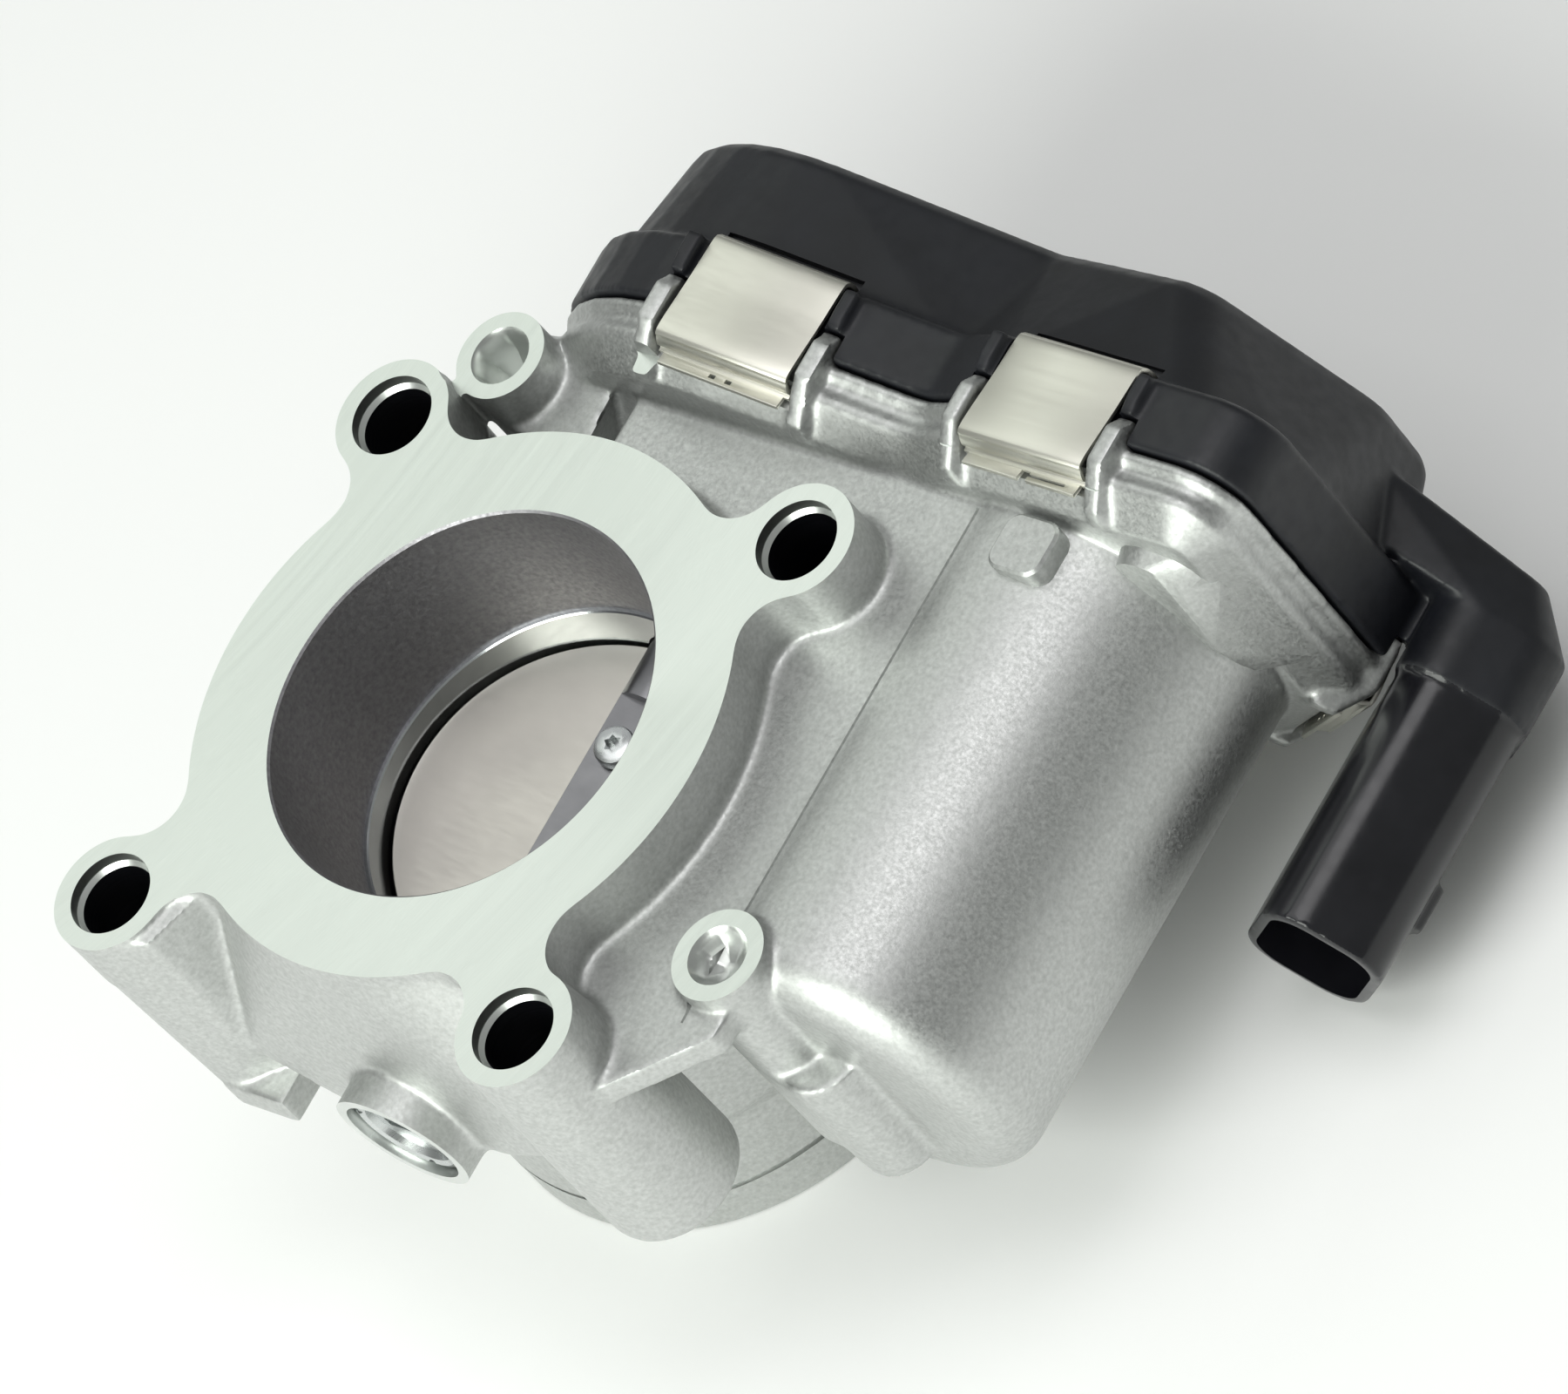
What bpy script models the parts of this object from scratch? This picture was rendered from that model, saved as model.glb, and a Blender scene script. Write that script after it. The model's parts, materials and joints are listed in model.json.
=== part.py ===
"""Electronic throttle body: a die-cast housing with a butterfly plate, a two-stage gear train, a DC motor
and a clipped plastic gear cover that carries the connector.

Everything is drawn in the bore frame, in millimetres: the bore axis is Z, the machined flange face is z = 0
and the body hangs below it; the throttle shaft runs along Y towards the gear cover; the motor lies on the
+X side, parallel to the shaft.  One parent empty then moves the assembly so that the centre of its footprint
is the origin of the part frame, and place() turns millimetres into metres.
"""

import math

import bmesh
import bpy
from mathutils import Matrix, Vector

MM = 0.001
GAP = 0.3  # clearance between neighbouring pieces

# Part frame: where the bore axis and the flange face lie, measured from the centre of the footprint.
BORE_X = -30.4
BORE_Y = -18.2
FLANGE_Z = 70.0

# Flange and bore
RING_R = 38.0
BORE_R = 26.7
BORE_FOOT_R = 25.6  # the bore narrows towards the land
LAND_R = 25.0
LAND_TOP = -21.5
LAND_BOTTOM = -41.0
BOLT_X = 33.8
BOLT_Y_GEAR = 32.7
BOLT_Y_END = -37.1
BOLT_HOLE_R = 5.05
BOLT_MOUTH_R = 5.6
BOLT_MOUTH_DEPTH = 1.6
BLIND_HOLE_DEPTH = 13.0
LUG_R = 8.0
LUG_FOOT_R = 7.0
LUG_END = -40.0
THICK_LUG_R = 9.6
THICK_LUG_SHIFT = 1.2
NECK_FILLET = 6.0
SMALL_BOSS_R = 6.3
SMALL_HOLE_R = 3.6
MOTOR_BOSS = (51.0, -18.4)
MOTOR_BOSS_TOP = -5.8
MOTOR_BOSS_HOLE_DEPTH = 3.1  # stays clear of the motor chamber below
GEAR_BOSS = (-26.6, 45.6)
GEAR_BOSS_TOP = -3.6
GEAR_BOSS_HOLE_DEPTH = 7.5

# Barrel, deck and rear spigot
BARREL_R = 35.6
SPIGOT_R = 34.8
SPIGOT_BORE_R = 29.5
SPIGOT_END = -70.0
GROOVE_Z = -63.5
DECK_Z = -8.5
DECK_THICK = 4.0

# Throttle shaft and plate
SHAFT_Z = -31.2
SHAFT_R = 4.5
SHAFT_END_Y = -40.6
SHAFT_TOP_Y = 70.0
PLATE_R = 24.75
PLATE_THICK = 1.6
PLATE_SCREW_R = 1.5
PLATE_SCREW_Y = (-10.0, 10.0)
SHAFT_FLAT = 2.6  # height of the flat that the plate screws seat on
REST_TILT = math.radians(12.0)
BOSS_R = 9.25
BOSS_END_Y = -45.5
BOSS_BORE_R = 7.8
BEARING_R = 7.5

# Gear case
TRAY_BACK_Y = 51.0
TRAY_FLOOR_Y = 54.0
TRAY_STEP_Y = 52.5
SKIRT_LOW_Y = 56.5
TRAY_RIM_Y = 60.5
SEAL_THICK = 1.4
SKIRT_TOP_Y = 66.0
DOME_TOP_Y = 82.0
CASE_R = 34.0
SKIRT_WALL = 2.8
RIM_OUTER_INSET = 3.2
RIM_INNER_INSET = 5.7

# Gear train
GEAR_PIN_X = 32.3
GEAR_PIN_R = 2.0
MOTOR_X = 56.5
SECTOR_TEETH = 50
SMALL_TEETH = 14
LARGE_TEETH = 52
PINION_TEETH = 12
STAGE_1_MODULE = 2 * GEAR_PIN_X / (SECTOR_TEETH + SMALL_TEETH)
STAGE_2_MODULE = 2 * (MOTOR_X - GEAR_PIN_X) / (LARGE_TEETH + PINION_TEETH)
PRESSURE_ANGLE = math.radians(25.0)
LARGE_GEAR_Y = (56.8, 61.2)
SECTOR_Y = (62.4, 68.4)

# Motor
MOTOR_CASE_R = 23.8
MOTOR_BORE_R = 21.6
MOTOR_END_Y = -20.0
CAN_R = 21.2
CAN_WALL = 1.3
CAN_END_Y = -16.2
CAN_MOUTH_Y = 49.0
MAGNET_IN_R = 15.6
ARMATURE_R = 14.8
TERMINAL_OFFSET = 9.0
MOTOR_SHAFT_R = 1.6
MOTOR_SCREW_CIRCLE_R = 24.6
MOTOR_SCREW_ANGLES = (46.0, 250.0)
MOTOR_SCREW_R = 1.5

# Connector, beside the slanted corner of the case
SOCKET_X = 91.3
SOCKET_Z = -54.4
SOCKET_WIDE = 22.0
SOCKET_NARROW = 16.8
SOCKET_CORNER = 6.0
SOCKET_WALL = 1.4
SOCKET_MOUTH_Y = 20.6
SOCKET_FLOOR_Y = 43.0
SOCKET_TOP_Y = 58.0
SLANT = math.radians(48.65)  # direction of the slanted corner, from +X towards +Z

# Clips
CLIP_WIDTH = 19.6
CLIP_THICK = 0.55
FIN_OFFSET = CLIP_WIDTH / 2 + 2.0  # a fin stands on each side of a clip
FIN_HALF = 1.3
FIN_TOP_Y = 59.6
RIB_HALF = 1.1
RIB_TOP_Y = 65.4
RIB_ROOT = -2.5  # ribs start inside the skirt wall, so they hold on where the side curves away

STOP_PIN = (-18.0, -50.0)
STOP_PIN_R = 1.5

for old in list(bpy.data.objects):
    bpy.data.objects.remove(old, do_unlink=True)


# ---------------------------------------------------------------- materials

def material(name, colour, roughness, metallic):
    made = bpy.data.materials.new(name)
    made.use_nodes = True
    shader = made.node_tree.nodes["Principled BSDF"]
    shader.inputs["Base Color"].default_value = (*colour, 1.0)
    shader.inputs["Roughness"].default_value = roughness
    shader.inputs["Metallic"].default_value = metallic
    made.diffuse_color = (*colour, 1.0)
    return made


CAST = material("cast_aluminium", (0.62, 0.64, 0.63), 0.45, 1.0)
STEEL = material("steel", (0.56, 0.56, 0.56), 0.3, 1.0)
STAINLESS = material("stainless", (0.74, 0.73, 0.68), 0.28, 1.0)
SHEET = material("plate_sheet", (0.62, 0.58, 0.5), 0.35, 1.0)
BRASS = material("brass", (0.72, 0.6, 0.35), 0.35, 1.0)
BLACK = material("black_plastic", (0.02, 0.02, 0.023), 0.42, 0.0)
NATURAL = material("gear_plastic", (0.72, 0.68, 0.58), 0.45, 0.0)
RUBBER = material("seal_rubber", (0.03, 0.03, 0.03), 0.7, 0.0)
COPPER = material("copper", (0.72, 0.4, 0.22), 0.35, 1.0)
FERRITE = material("ferrite", (0.09, 0.09, 0.095), 0.6, 0.0)
BOARD = material("circuit_board", (0.03, 0.2, 0.09), 0.5, 0.0)


# ---------------------------------------------------------------- outlines (lists of 2-D points)

def arc(centre, radius, start, end, steps):
    """Points on a circle from one angle to another, both in degrees, ends included."""
    points = []
    for i in range(steps + 1):
        angle = math.radians(start + (end - start) * i / steps)
        points.append((centre[0] + radius * math.cos(angle), centre[1] + radius * math.sin(angle)))
    return points


def circle(centre, radius, steps):
    return arc(centre, radius, 0.0, 360.0, steps)[:-1]


def rounded_polygon(corners, inset=0.0, steps=4):
    """A counter-clockwise polygon of (x, y, radius) corners with each corner turned into an arc.
    A positive inset moves every side inwards; outside corners tighten and inside corners widen."""
    count = len(corners)
    sides = []
    for i in range(count):
        a = Vector(corners[i][:2])
        b = Vector(corners[(i + 1) % count][:2])
        along = (b - a).normalized()
        sides.append((a + Vector((-along.y, along.x)) * inset, along))
    points = []
    for i in range(count):
        before, along_in = sides[i - 1]
        after, along_out = sides[i]
        cross = along_in.x * along_out.y - along_in.y * along_out.x
        offset = after - before
        reach = (offset.x * along_out.y - offset.y * along_out.x) / cross
        corner = before + along_in * reach
        turn = math.atan2(cross, along_in.dot(along_out))
        radius = max(corners[i][2] - math.copysign(inset, turn), min(corners[i][2], 0.4))
        back = radius * math.tan(abs(turn) / 2)
        start = corner - along_in * back
        side = Vector((-along_in.y, along_in.x)) * math.copysign(1.0, turn)
        centre = start + side * radius
        for k in range(steps + 1):
            angle = turn * k / steps
            spoke = Matrix.Rotation(angle, 2) @ (-side * radius)
            points.append(tuple(centre + spoke))
    return [p for i, p in enumerate(points) if math.dist(p, points[i - 1]) > 1e-3]


def rounded_rectangle(width, height, radius, steps=5):
    w, h = width / 2, height / 2
    return rounded_polygon([(-w, -h, radius), (w, -h, radius), (w, h, radius), (-w, h, radius)], 0.0, steps)


def turned_outline(outline, angle, centre):
    """An outline rotated by an angle and moved to a centre."""
    cosine, sine = math.cos(angle), math.sin(angle)
    return [(centre[0] + x * cosine - y * sine, centre[1] + x * sine + y * cosine) for x, y in outline]


def flange_outline():
    """The machined flange: a ring with four lugs, each joined to the ring by two concave fillets."""
    lugs = [(BOLT_X, BOLT_Y_GEAR), (-BOLT_X, BOLT_Y_GEAR), (-BOLT_X, BOLT_Y_END), (BOLT_X, BOLT_Y_END)]
    to_ring = RING_R + NECK_FILLET
    to_lug = LUG_R + NECK_FILLET
    necks = []
    for x, y in lugs:
        reach = math.hypot(x, y)
        heading = math.degrees(math.atan2(y, x)) % 360
        swing = math.degrees(math.acos((to_ring**2 + reach**2 - to_lug**2) / (2 * to_ring * reach)))
        lean = math.degrees(math.acos((to_lug**2 + reach**2 - to_ring**2) / (2 * to_lug * reach)))
        necks.append(((x, y), heading, swing, lean))
    points = []
    for i, (centre, heading, swing, lean) in enumerate(necks):
        for side in (-1, 1):
            angle = math.radians(heading + side * swing)
            fillet = (to_ring * math.cos(angle), to_ring * math.sin(angle))
            if side < 0:
                points += arc(fillet, NECK_FILLET, heading - swing + 180, heading + lean, 3)
                points += arc(centre, LUG_R, heading - 180 + lean, heading + 180 - lean, 11)[1:-1]
            else:
                points += arc(fillet, NECK_FILLET, heading - lean, heading + swing - 180, 3)
        following = necks[(i + 1) % 4]
        next_start = following[1] - following[2] + (360 if i == 3 else 0)
        points += arc((0, 0), RING_R, heading + swing, next_start, 8)[1:-1]
    return points


def lobe_corner(radius, x, z):
    """The corner whose arc is the round end about the shaft axis and whose side runs on through (x, z)."""
    rise = z - SHAFT_Z
    side = math.copysign(1.0, rise)
    slope = math.atan2(abs(rise), x) - math.asin(radius / math.hypot(x, rise))
    return (-radius, z - side * (x + radius) * math.tan(slope), radius)


CASE_CORNERS = [  # (x, z, radius), counter-clockwise seen with +X to the right and +Z up
    lobe_corner(CASE_R, 67.5, -62.5),
    (67.5, -62.5, 7.0),
    (86.0, -45.5, 5.0),
    (88.6, 0.6, 8.0),
    (46.0, 0.6, 4.0),
    (37.0, -3.2, 6.0),
    lobe_corner(CASE_R, 37.0, -3.2),
]
DOME_BASE_CORNERS = [
    lobe_corner(32.0, 64.0, -61.0),
    (64.0, -61.0, 10.0),
    (84.0, -45.0, 8.0),
    (86.0, -14.0, 9.0),
    (76.0, -1.6, 9.0),
    (46.5, -1.6, 4.0),
    (36.0, -5.4, 5.0),
    lobe_corner(32.0, 36.0, -5.4),
]
DOME_TOP_CORNERS = [
    lobe_corner(29.7, 60.0, -58.6),
    (60.0, -58.6, 10.0),
    (78.5, -44.0, 8.0),
    (79.8, -29.0, 8.0),
    (64.0, -6.0, 8.0),
    (47.0, -8.2, 4.0),
    (38.0, -9.6, 5.0),
    lobe_corner(29.7, 38.0, -9.6),
]


# ---------------------------------------------------------------- solids

def solid(loops):
    """A closed skin over a stack of loops with equal point counts; the end loops are capped."""
    bm = bmesh.new()
    rings = [[bm.verts.new(p) for p in loop] for loop in loops]
    count = len(rings[0])
    for low, high in zip(rings, rings[1:]):
        for i in range(count):
            j = (i + 1) % count
            bm.faces.new((low[i], low[j], high[j], high[i]))
    bm.faces.new(rings[0][::-1])
    bm.faces.new(rings[-1])
    bmesh.ops.recalc_face_normals(bm, faces=bm.faces)
    return bm


def prism_z(outline, low, high):
    return solid([[(x, y, z) for x, y in outline] for z in (low, high)])


def prism_y(outline, low, high):
    """An (x, z) outline extruded along Y."""
    return solid([[(x, y, z) for x, z in outline] for y in (low, high)])


def loft_y(sections):
    """(outline, y) sections joined in order; the skin is in triangles because its quads aren't flat."""
    bm = solid([[(x, y, z) for x, z in outline] for outline, y in sections])
    bmesh.ops.triangulate(bm, faces=[f for f in bm.faces if len(f.verts) == 4])
    return bm


def rod_z(radius, low, high, centre=(0.0, 0.0), steps=32):
    return prism_z(circle(centre, radius, steps), low, high)


def rod_y(radius, low, high, centre=(0.0, SHAFT_Z), steps=32):
    return prism_y(circle(centre, radius, steps), low, high)


def turned_z(profile, centre=(0.0, 0.0), steps=32):
    """(radius, z) profile, bottom to top, spun about a Z axis."""
    return solid([[(x, y, z) for x, y in circle(centre, r, steps)] for r, z in profile])


def turned_y(profile, centre=(0.0, SHAFT_Z), steps=32):
    """(radius, y) profile spun about a Y axis."""
    return solid([[(x, y, z) for x, z in circle(centre, r, steps)] for r, y in profile])


def closed_ring(loops):
    """A closed skin over loops that lead back to the first, such as a tube's outside, ends and inside."""
    bm = bmesh.new()
    rings = [[bm.verts.new(p) for p in loop] for loop in loops]
    count = len(rings[0])
    for a, b in zip(rings, rings[1:] + rings[:1]):
        for i in range(count):
            j = (i + 1) % count
            bm.faces.new((a[i], a[j], b[j], b[i]))
    bmesh.ops.recalc_face_normals(bm, faces=bm.faces)
    return bm


def pipe_y(outer, inner, low, high, centre=(0.0, SHAFT_Z), steps=32):
    """A plain tube along Y."""
    corners = ((outer, low), (outer, high), (inner, high), (inner, low))
    return closed_ring([ring_y(radius, y, centre, steps) for radius, y in corners])


def box(low, high):
    outline = [(low[0], low[1]), (high[0], low[1]), (high[0], high[1]), (low[0], high[1])]
    return prism_z(outline, low[2], high[2])


def hull(points):
    """The convex solid around some points."""
    bm = bmesh.new()
    for p in points:
        bm.verts.new(p)
    result = bmesh.ops.convex_hull(bm, input=bm.verts)
    spare = [v for v in result["geom_interior"] + result["geom_unused"] if isinstance(v, bmesh.types.BMVert)]
    bmesh.ops.delete(bm, geom=list(set(spare)), context="VERTS")
    bmesh.ops.dissolve_limit(bm, angle_limit=math.radians(0.5), verts=bm.verts, edges=bm.edges)
    bmesh.ops.recalc_face_normals(bm, faces=bm.faces)
    return bm


def ring_y(radius, y, centre=(0.0, SHAFT_Z), steps=20):
    return [(x, y, z) for x, z in circle(centre, radius, steps)]


def ring_z(radius, z, centre=(0.0, 0.0), steps=20):
    return [(x, y, z) for x, y in circle(centre, radius, steps)]


def moved(bm, matrix):
    bm.transform(matrix)
    return bm


def working_object(bm, name="work"):
    mesh = bpy.data.meshes.new(name)
    bm.to_mesh(mesh)
    bm.free()
    made = bpy.data.objects.new(name, mesh)
    bpy.context.scene.collection.objects.link(made)
    return made


def combine(base, others, operation):
    """The base solid with the others joined or cut, one Boolean modifier each, as a new bmesh."""
    target = working_object(base)
    helpers = []
    for other in others:
        helper = working_object(other, "helper")
        helper.hide_render = True
        helper.display_type = "WIRE"
        helpers.append(helper)
        modifier = target.modifiers.new("boolean", "BOOLEAN")
        modifier.solver = "EXACT"
        modifier.operation = operation
        modifier.object = helper
    bpy.context.view_layer.update()
    evaluated = target.evaluated_get(bpy.context.evaluated_depsgraph_get())
    result = bmesh.new()
    result.from_mesh(evaluated.to_mesh())
    evaluated.to_mesh_clear()
    for spent in helpers + [target]:
        bpy.data.objects.remove(spent, do_unlink=True)
    bmesh.ops.remove_doubles(result, verts=result.verts, dist=0.002)
    bmesh.ops.dissolve_limit(result, angle_limit=math.radians(0.2), verts=result.verts, edges=result.edges)
    return result


def join(base, others):
    return combine(base, others, "UNION")


def cut(base, others):
    return combine(base, others, "DIFFERENCE")


frame_empty = bpy.data.objects.new("throttle_body_frame", None)
frame_empty.location = (BORE_X * MM, BORE_Y * MM, FLANGE_Z * MM)
bpy.context.scene.collection.objects.link(frame_empty)


def place(name, bm, finish, pivot=(0.0, 0.0, 0.0)):
    """Makes the final object: metres, its origin on the pivot, under the frame empty."""
    bmesh.ops.triangulate(bm, faces=[f for f in bm.faces if len(f.verts) > 4])
    bm.transform(Matrix.Translation(-Vector(pivot)))
    bm.transform(Matrix.Scale(MM, 4))
    mesh = bpy.data.meshes.new(name)
    bm.to_mesh(mesh)
    bm.free()
    mesh.materials.append(finish)
    mesh.shade_smooth()
    mesh.set_sharp_from_angle(angle=math.radians(35))
    made = bpy.data.objects.new(name, mesh)
    made.location = Vector(pivot) * MM
    made.parent = frame_empty
    bpy.context.scene.collection.objects.link(made)
    return made


# ---------------------------------------------------------------- gears

def gear_outline(teeth, module, phase, backlash=0.16, flank_steps=2, tip=0.85, root=1.3, span=None):
    """Involute gear outline about the origin; phase is the direction of one tooth's centre, in radians.
    With a span (first, last) only the teeth inside it are drawn, for a sector."""
    pitch_r = teeth * module / 2
    base_r = pitch_r * math.cos(PRESSURE_ANGLE)
    tip_r = pitch_r + tip * module
    root_r = pitch_r - root * module
    involute_at_pitch = math.tan(PRESSURE_ANGLE) - PRESSURE_ANGLE
    half_tooth = math.pi / (2 * teeth) - backlash / (2 * pitch_r)
    start_r = max(base_r, root_r + 0.05 * module)
    flank = []
    for i in range(flank_steps + 1):
        radius = start_r + (tip_r - start_r) * i / flank_steps
        pressure = math.acos(min(1.0, base_r / radius))
        flank.append((radius, half_tooth + involute_at_pitch - (math.tan(pressure) - pressure)))
    step = 2 * math.pi / teeth
    first, last = (0, teeth - 1) if span is None else span
    points = []
    for k in range(first, last + 1):
        centre = phase + k * step
        half = [(root_r, flank[0][1] + 0.02 * step)] + flank[1:]
        tooth = [(r, -a) for r, a in half] + [(r, a) for r, a in reversed(half)]
        points += [(r * math.cos(centre + a), r * math.sin(centre + a)) for r, a in tooth]
    return points


def shifted(outline, centre):
    return [(x + centre[0], z + centre[1]) for x, z in outline]


# ---------------------------------------------------------------- housing

def lug(x, y, foot_z):
    profile = [(LUG_FOOT_R - 1.6, foot_z), (LUG_FOOT_R, foot_z + 1.6), (LUG_R - 0.2, -1.0)]
    return turned_z(profile, (x, y), 16)


def thick_lug():
    """The inner lower lug, which grows thicker towards its foot and leans towards the gear side."""
    top = (BOLT_X, BOLT_Y_END)
    foot = (BOLT_X, BOLT_Y_END + THICK_LUG_SHIFT)
    return hull(ring_z(LUG_R - 0.2, -1.0, top) + ring_z(THICK_LUG_R, -24.0, foot)
                + ring_z(THICK_LUG_R, LUG_END + 1.6, foot) + ring_z(THICK_LUG_R - 1.6, LUG_END, foot))


def side_site(start, share):
    """A point on a side of the case outline, as (x, z, direction of the outward normal in degrees)."""
    a, b = Vector(CASE_CORNERS[start][:2]), Vector(CASE_CORNERS[start + 1][:2])
    along = b - a
    spot = a + along * share
    return spot.x, spot.y, math.degrees(math.atan2(-along.x, along.y))


def slanted_site():
    """The clip beside the connector, where only short fins fit."""
    return side_site(1, 0.5)


def clip_sites():
    """Middle of each clip: two on the flange side, one on the slanted corner, two on the far side."""
    return [side_site(5, 0.377), side_site(3, 0.704), slanted_site(),
            side_site(0, 0.453), side_site(0, 0.828)]


def at_clip(bm, site):
    """Moves a solid drawn with +X outwards and Z along the case side onto a clip site."""
    x, z, normal = site
    return moved(bm, Matrix.Translation((x, 0, z)) @ Matrix.Rotation(-math.radians(normal), 4, "Y"))


def fins():
    """A pair of fins beside each clip, from the back wall up into the notches of the cover's skirt."""
    made = []
    for site in clip_sites():
        reach = 0.6 if site == slanted_site() else 1.8
        side_view = ((-4.0, 50.5), (-0.5, 50.0), (reach, 53.0), (reach, 57.6), (0.2, FIN_TOP_Y),
                     (-2.4, FIN_TOP_Y), (-4.0, 56.0))
        for middle in (-FIN_OFFSET, FIN_OFFSET):
            fin = hull([(x, y, middle + w) for w in (-FIN_HALF, FIN_HALF) for x, y in side_view])
            made.append(at_clip(fin, site))
    return made


def shaft_beam():
    """The faceted beam between the two lower lugs, which carries the shaft-end boss."""
    points = [(x, y, -0.6) for x, y in arc((0, 0), RING_R - 0.3, -124, -56, 8)] + ring_y(BOSS_R, -39.8)
    for side in (-1, 1):
        points += [(side * 26.0, -41.5, -27.5), (side * 25.0, -20.0, -28.0), (side * 14.0, -42.0, -33.2)]
        points += [(side * 27.0, -36.0, -38.0), (side * 20.0, -25.0, -1.0)]
    return hull(points)


def end_lug_web():
    """The solid web that joins the outer lower lug to the ring and the beam."""
    place = (-BOLT_X, BOLT_Y_END)
    return hull(ring_z(LUG_R - 0.4, -0.8, place) + ring_z(LUG_FOOT_R - 0.6, -36.0, place)
                + [(-25.0, -41.5, -0.8), (-20.9, -31.6, -0.8), (-26.0, -41.8, -27.5),
                   (-22.0, -25.0, -28.0), (-24.0, -38.0, -36.0)])


def motor_case():
    profile = [(MOTOR_CASE_R - 6.0, MOTOR_END_Y), (MOTOR_CASE_R - 1.8, MOTOR_END_Y + 1.8),
               (MOTOR_CASE_R, MOTOR_END_Y + 6.0), (MOTOR_CASE_R, TRAY_FLOOR_Y)]
    return turned_y(profile, (MOTOR_X, SHAFT_Z), 48)


def small_bosses():
    """The bracket boss by the motor with its foot, and the one by the gear case with its web."""
    foot = hull(ring_z(5.4, -46.0, (56.5, -20.0)) + ring_z(SMALL_BOSS_R, -24.0, (56.5, -19.5))
                + ring_z(SMALL_BOSS_R, -24.0, MOTOR_BOSS) + ring_z(5.4, -44.0, MOTOR_BOSS))
    web = hull(ring_z(6.0, -10.0, GEAR_BOSS) + ring_z(5.0, -26.0, GEAR_BOSS)
               + [(-33.0, 53.0, -12.0), (-12.0, 53.0, -8.0), (-33.0, 53.0, -28.0), (-12.0, 36.0, -10.0)])
    return [rod_z(SMALL_BOSS_R, -42.0, MOTOR_BOSS_TOP, MOTOR_BOSS, 24), foot,
            rod_z(SMALL_BOSS_R - 0.1, -26.0, GEAR_BOSS_TOP, GEAR_BOSS, 24), web]


def motor_case_details():
    """The pad, the half-round fairing, and the bosses for the second screw and the gear pin."""
    pad = turned_outline(rounded_rectangle(8.4, 7.8, 2.2, 3), 0.0, (60.4, 42.8))
    fairing = hull(ring_y(6.8, 52.8, (75.6, -12.4), 16) + ring_y(5.6, 45.5, (74.6, -14.6), 16)
                   + [(80.6, 43.5, -23.0), (72.0, 43.5, -23.0), (85.2, 51.5, -8.0), (85.2, 51.5, -36.0),
                      (80.0, 45.0, -31.0)])
    screw_boss = rod_y(3.8, 43.0, TRAY_FLOOR_Y - 0.4, motor_screw_place(MOTOR_SCREW_ANGLES[1]), 16)
    return [prism_z(pad, -14.0, -5.6), fairing, screw_boss,
            rod_y(5.2, 40.0, TRAY_FLOOR_Y, (GEAR_PIN_X, SHAFT_Z), 20)]


def gear_case():
    """Back wall, step under the skirt, and the rim inside the skirt."""
    return [prism_y(rounded_polygon(CASE_CORNERS, 3.0), TRAY_BACK_Y, TRAY_STEP_Y + 1.0),
            prism_y(rounded_polygon(CASE_CORNERS, 0.7), TRAY_STEP_Y, SKIRT_LOW_Y - GAP),
            prism_y(rounded_polygon(CASE_CORNERS, RIM_OUTER_INSET), TRAY_STEP_Y + 0.5, TRAY_RIM_Y)]


def housing_blank():
    barrel = [(SPIGOT_R, SPIGOT_END), (SPIGOT_R, -52.0), (BARREL_R, -50.0), (RING_R - 0.4, -2.0)]
    # the deck lies between the barrel, the motor case and the gear case
    deck = [(-8.0, 20.0), (30.0, -38.0), (41.5, -39.5), (54.6, -27.5),
            (57.0, 0.0), (57.0, 54.0), (-8.0, 54.0)]
    parts = [
        turned_z(barrel, steps=48),
        lug(BOLT_X, BOLT_Y_GEAR, -17.5),
        lug(-BOLT_X, BOLT_Y_GEAR, -30.0),
        lug(-BOLT_X, BOLT_Y_END, LUG_END),
        thick_lug(),
        prism_z(deck, DECK_Z - DECK_THICK, DECK_Z),
        shaft_beam(),
        end_lug_web(),
        rod_y(BOSS_R, BOSS_END_Y, -30.0),
        box((-34.0, -44.8, LUG_END), (-23.8, -36.0, -35.0)),
        turned_y([(15.0, 30.0), (13.6, TRAY_FLOOR_Y - 0.5)], steps=30),
        motor_case(),
    ]
    parts += small_bosses() + motor_case_details() + gear_case() + fins()
    return join(prism_z(flange_outline(), DECK_Z - 2.5, 0.0), parts)


def bore_cutters():
    low_bore = [(SPIGOT_BORE_R, SPIGOT_END - 5.0), (SPIGOT_BORE_R, LAND_BOTTOM - 5.0), (LAND_R, LAND_BOTTOM)]
    groove = ((SPIGOT_R + 2, GROOVE_Z - 0.4), (SPIGOT_R + 2, GROOVE_Z + 0.4),
              (SPIGOT_R - 0.5, GROOVE_Z + 0.4), (SPIGOT_R - 0.5, GROOVE_Z - 0.4))
    return [
        turned_z([(BORE_FOOT_R, LAND_TOP), (BORE_R, -3.0), (BORE_R, 5.0)], steps=48),
        rod_z(LAND_R, LAND_BOTTOM - 1.0, LAND_TOP + 1.0, steps=48),
        turned_z(low_bore, steps=48),
        closed_ring([ring_z(radius, z, steps=48) for radius, z in groove]),
    ]


def bolt_hole_cutters():
    """The hole over the motor case is blind; the others run through."""
    made = []
    for x, y, low in ((BOLT_X, BOLT_Y_GEAR, -BLIND_HOLE_DEPTH), (-BOLT_X, BOLT_Y_GEAR, -60.0),
                      (-BOLT_X, BOLT_Y_END, -60.0), (BOLT_X, BOLT_Y_END, -60.0)):
        profile = [(BOLT_HOLE_R, low), (BOLT_HOLE_R, -BOLT_MOUTH_DEPTH - 0.6),
                   (BOLT_MOUTH_R, -BOLT_MOUTH_DEPTH), (BOLT_MOUTH_R, 1.0)]
        made.append(turned_z(profile, (x, y), 16))
    return made


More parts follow.
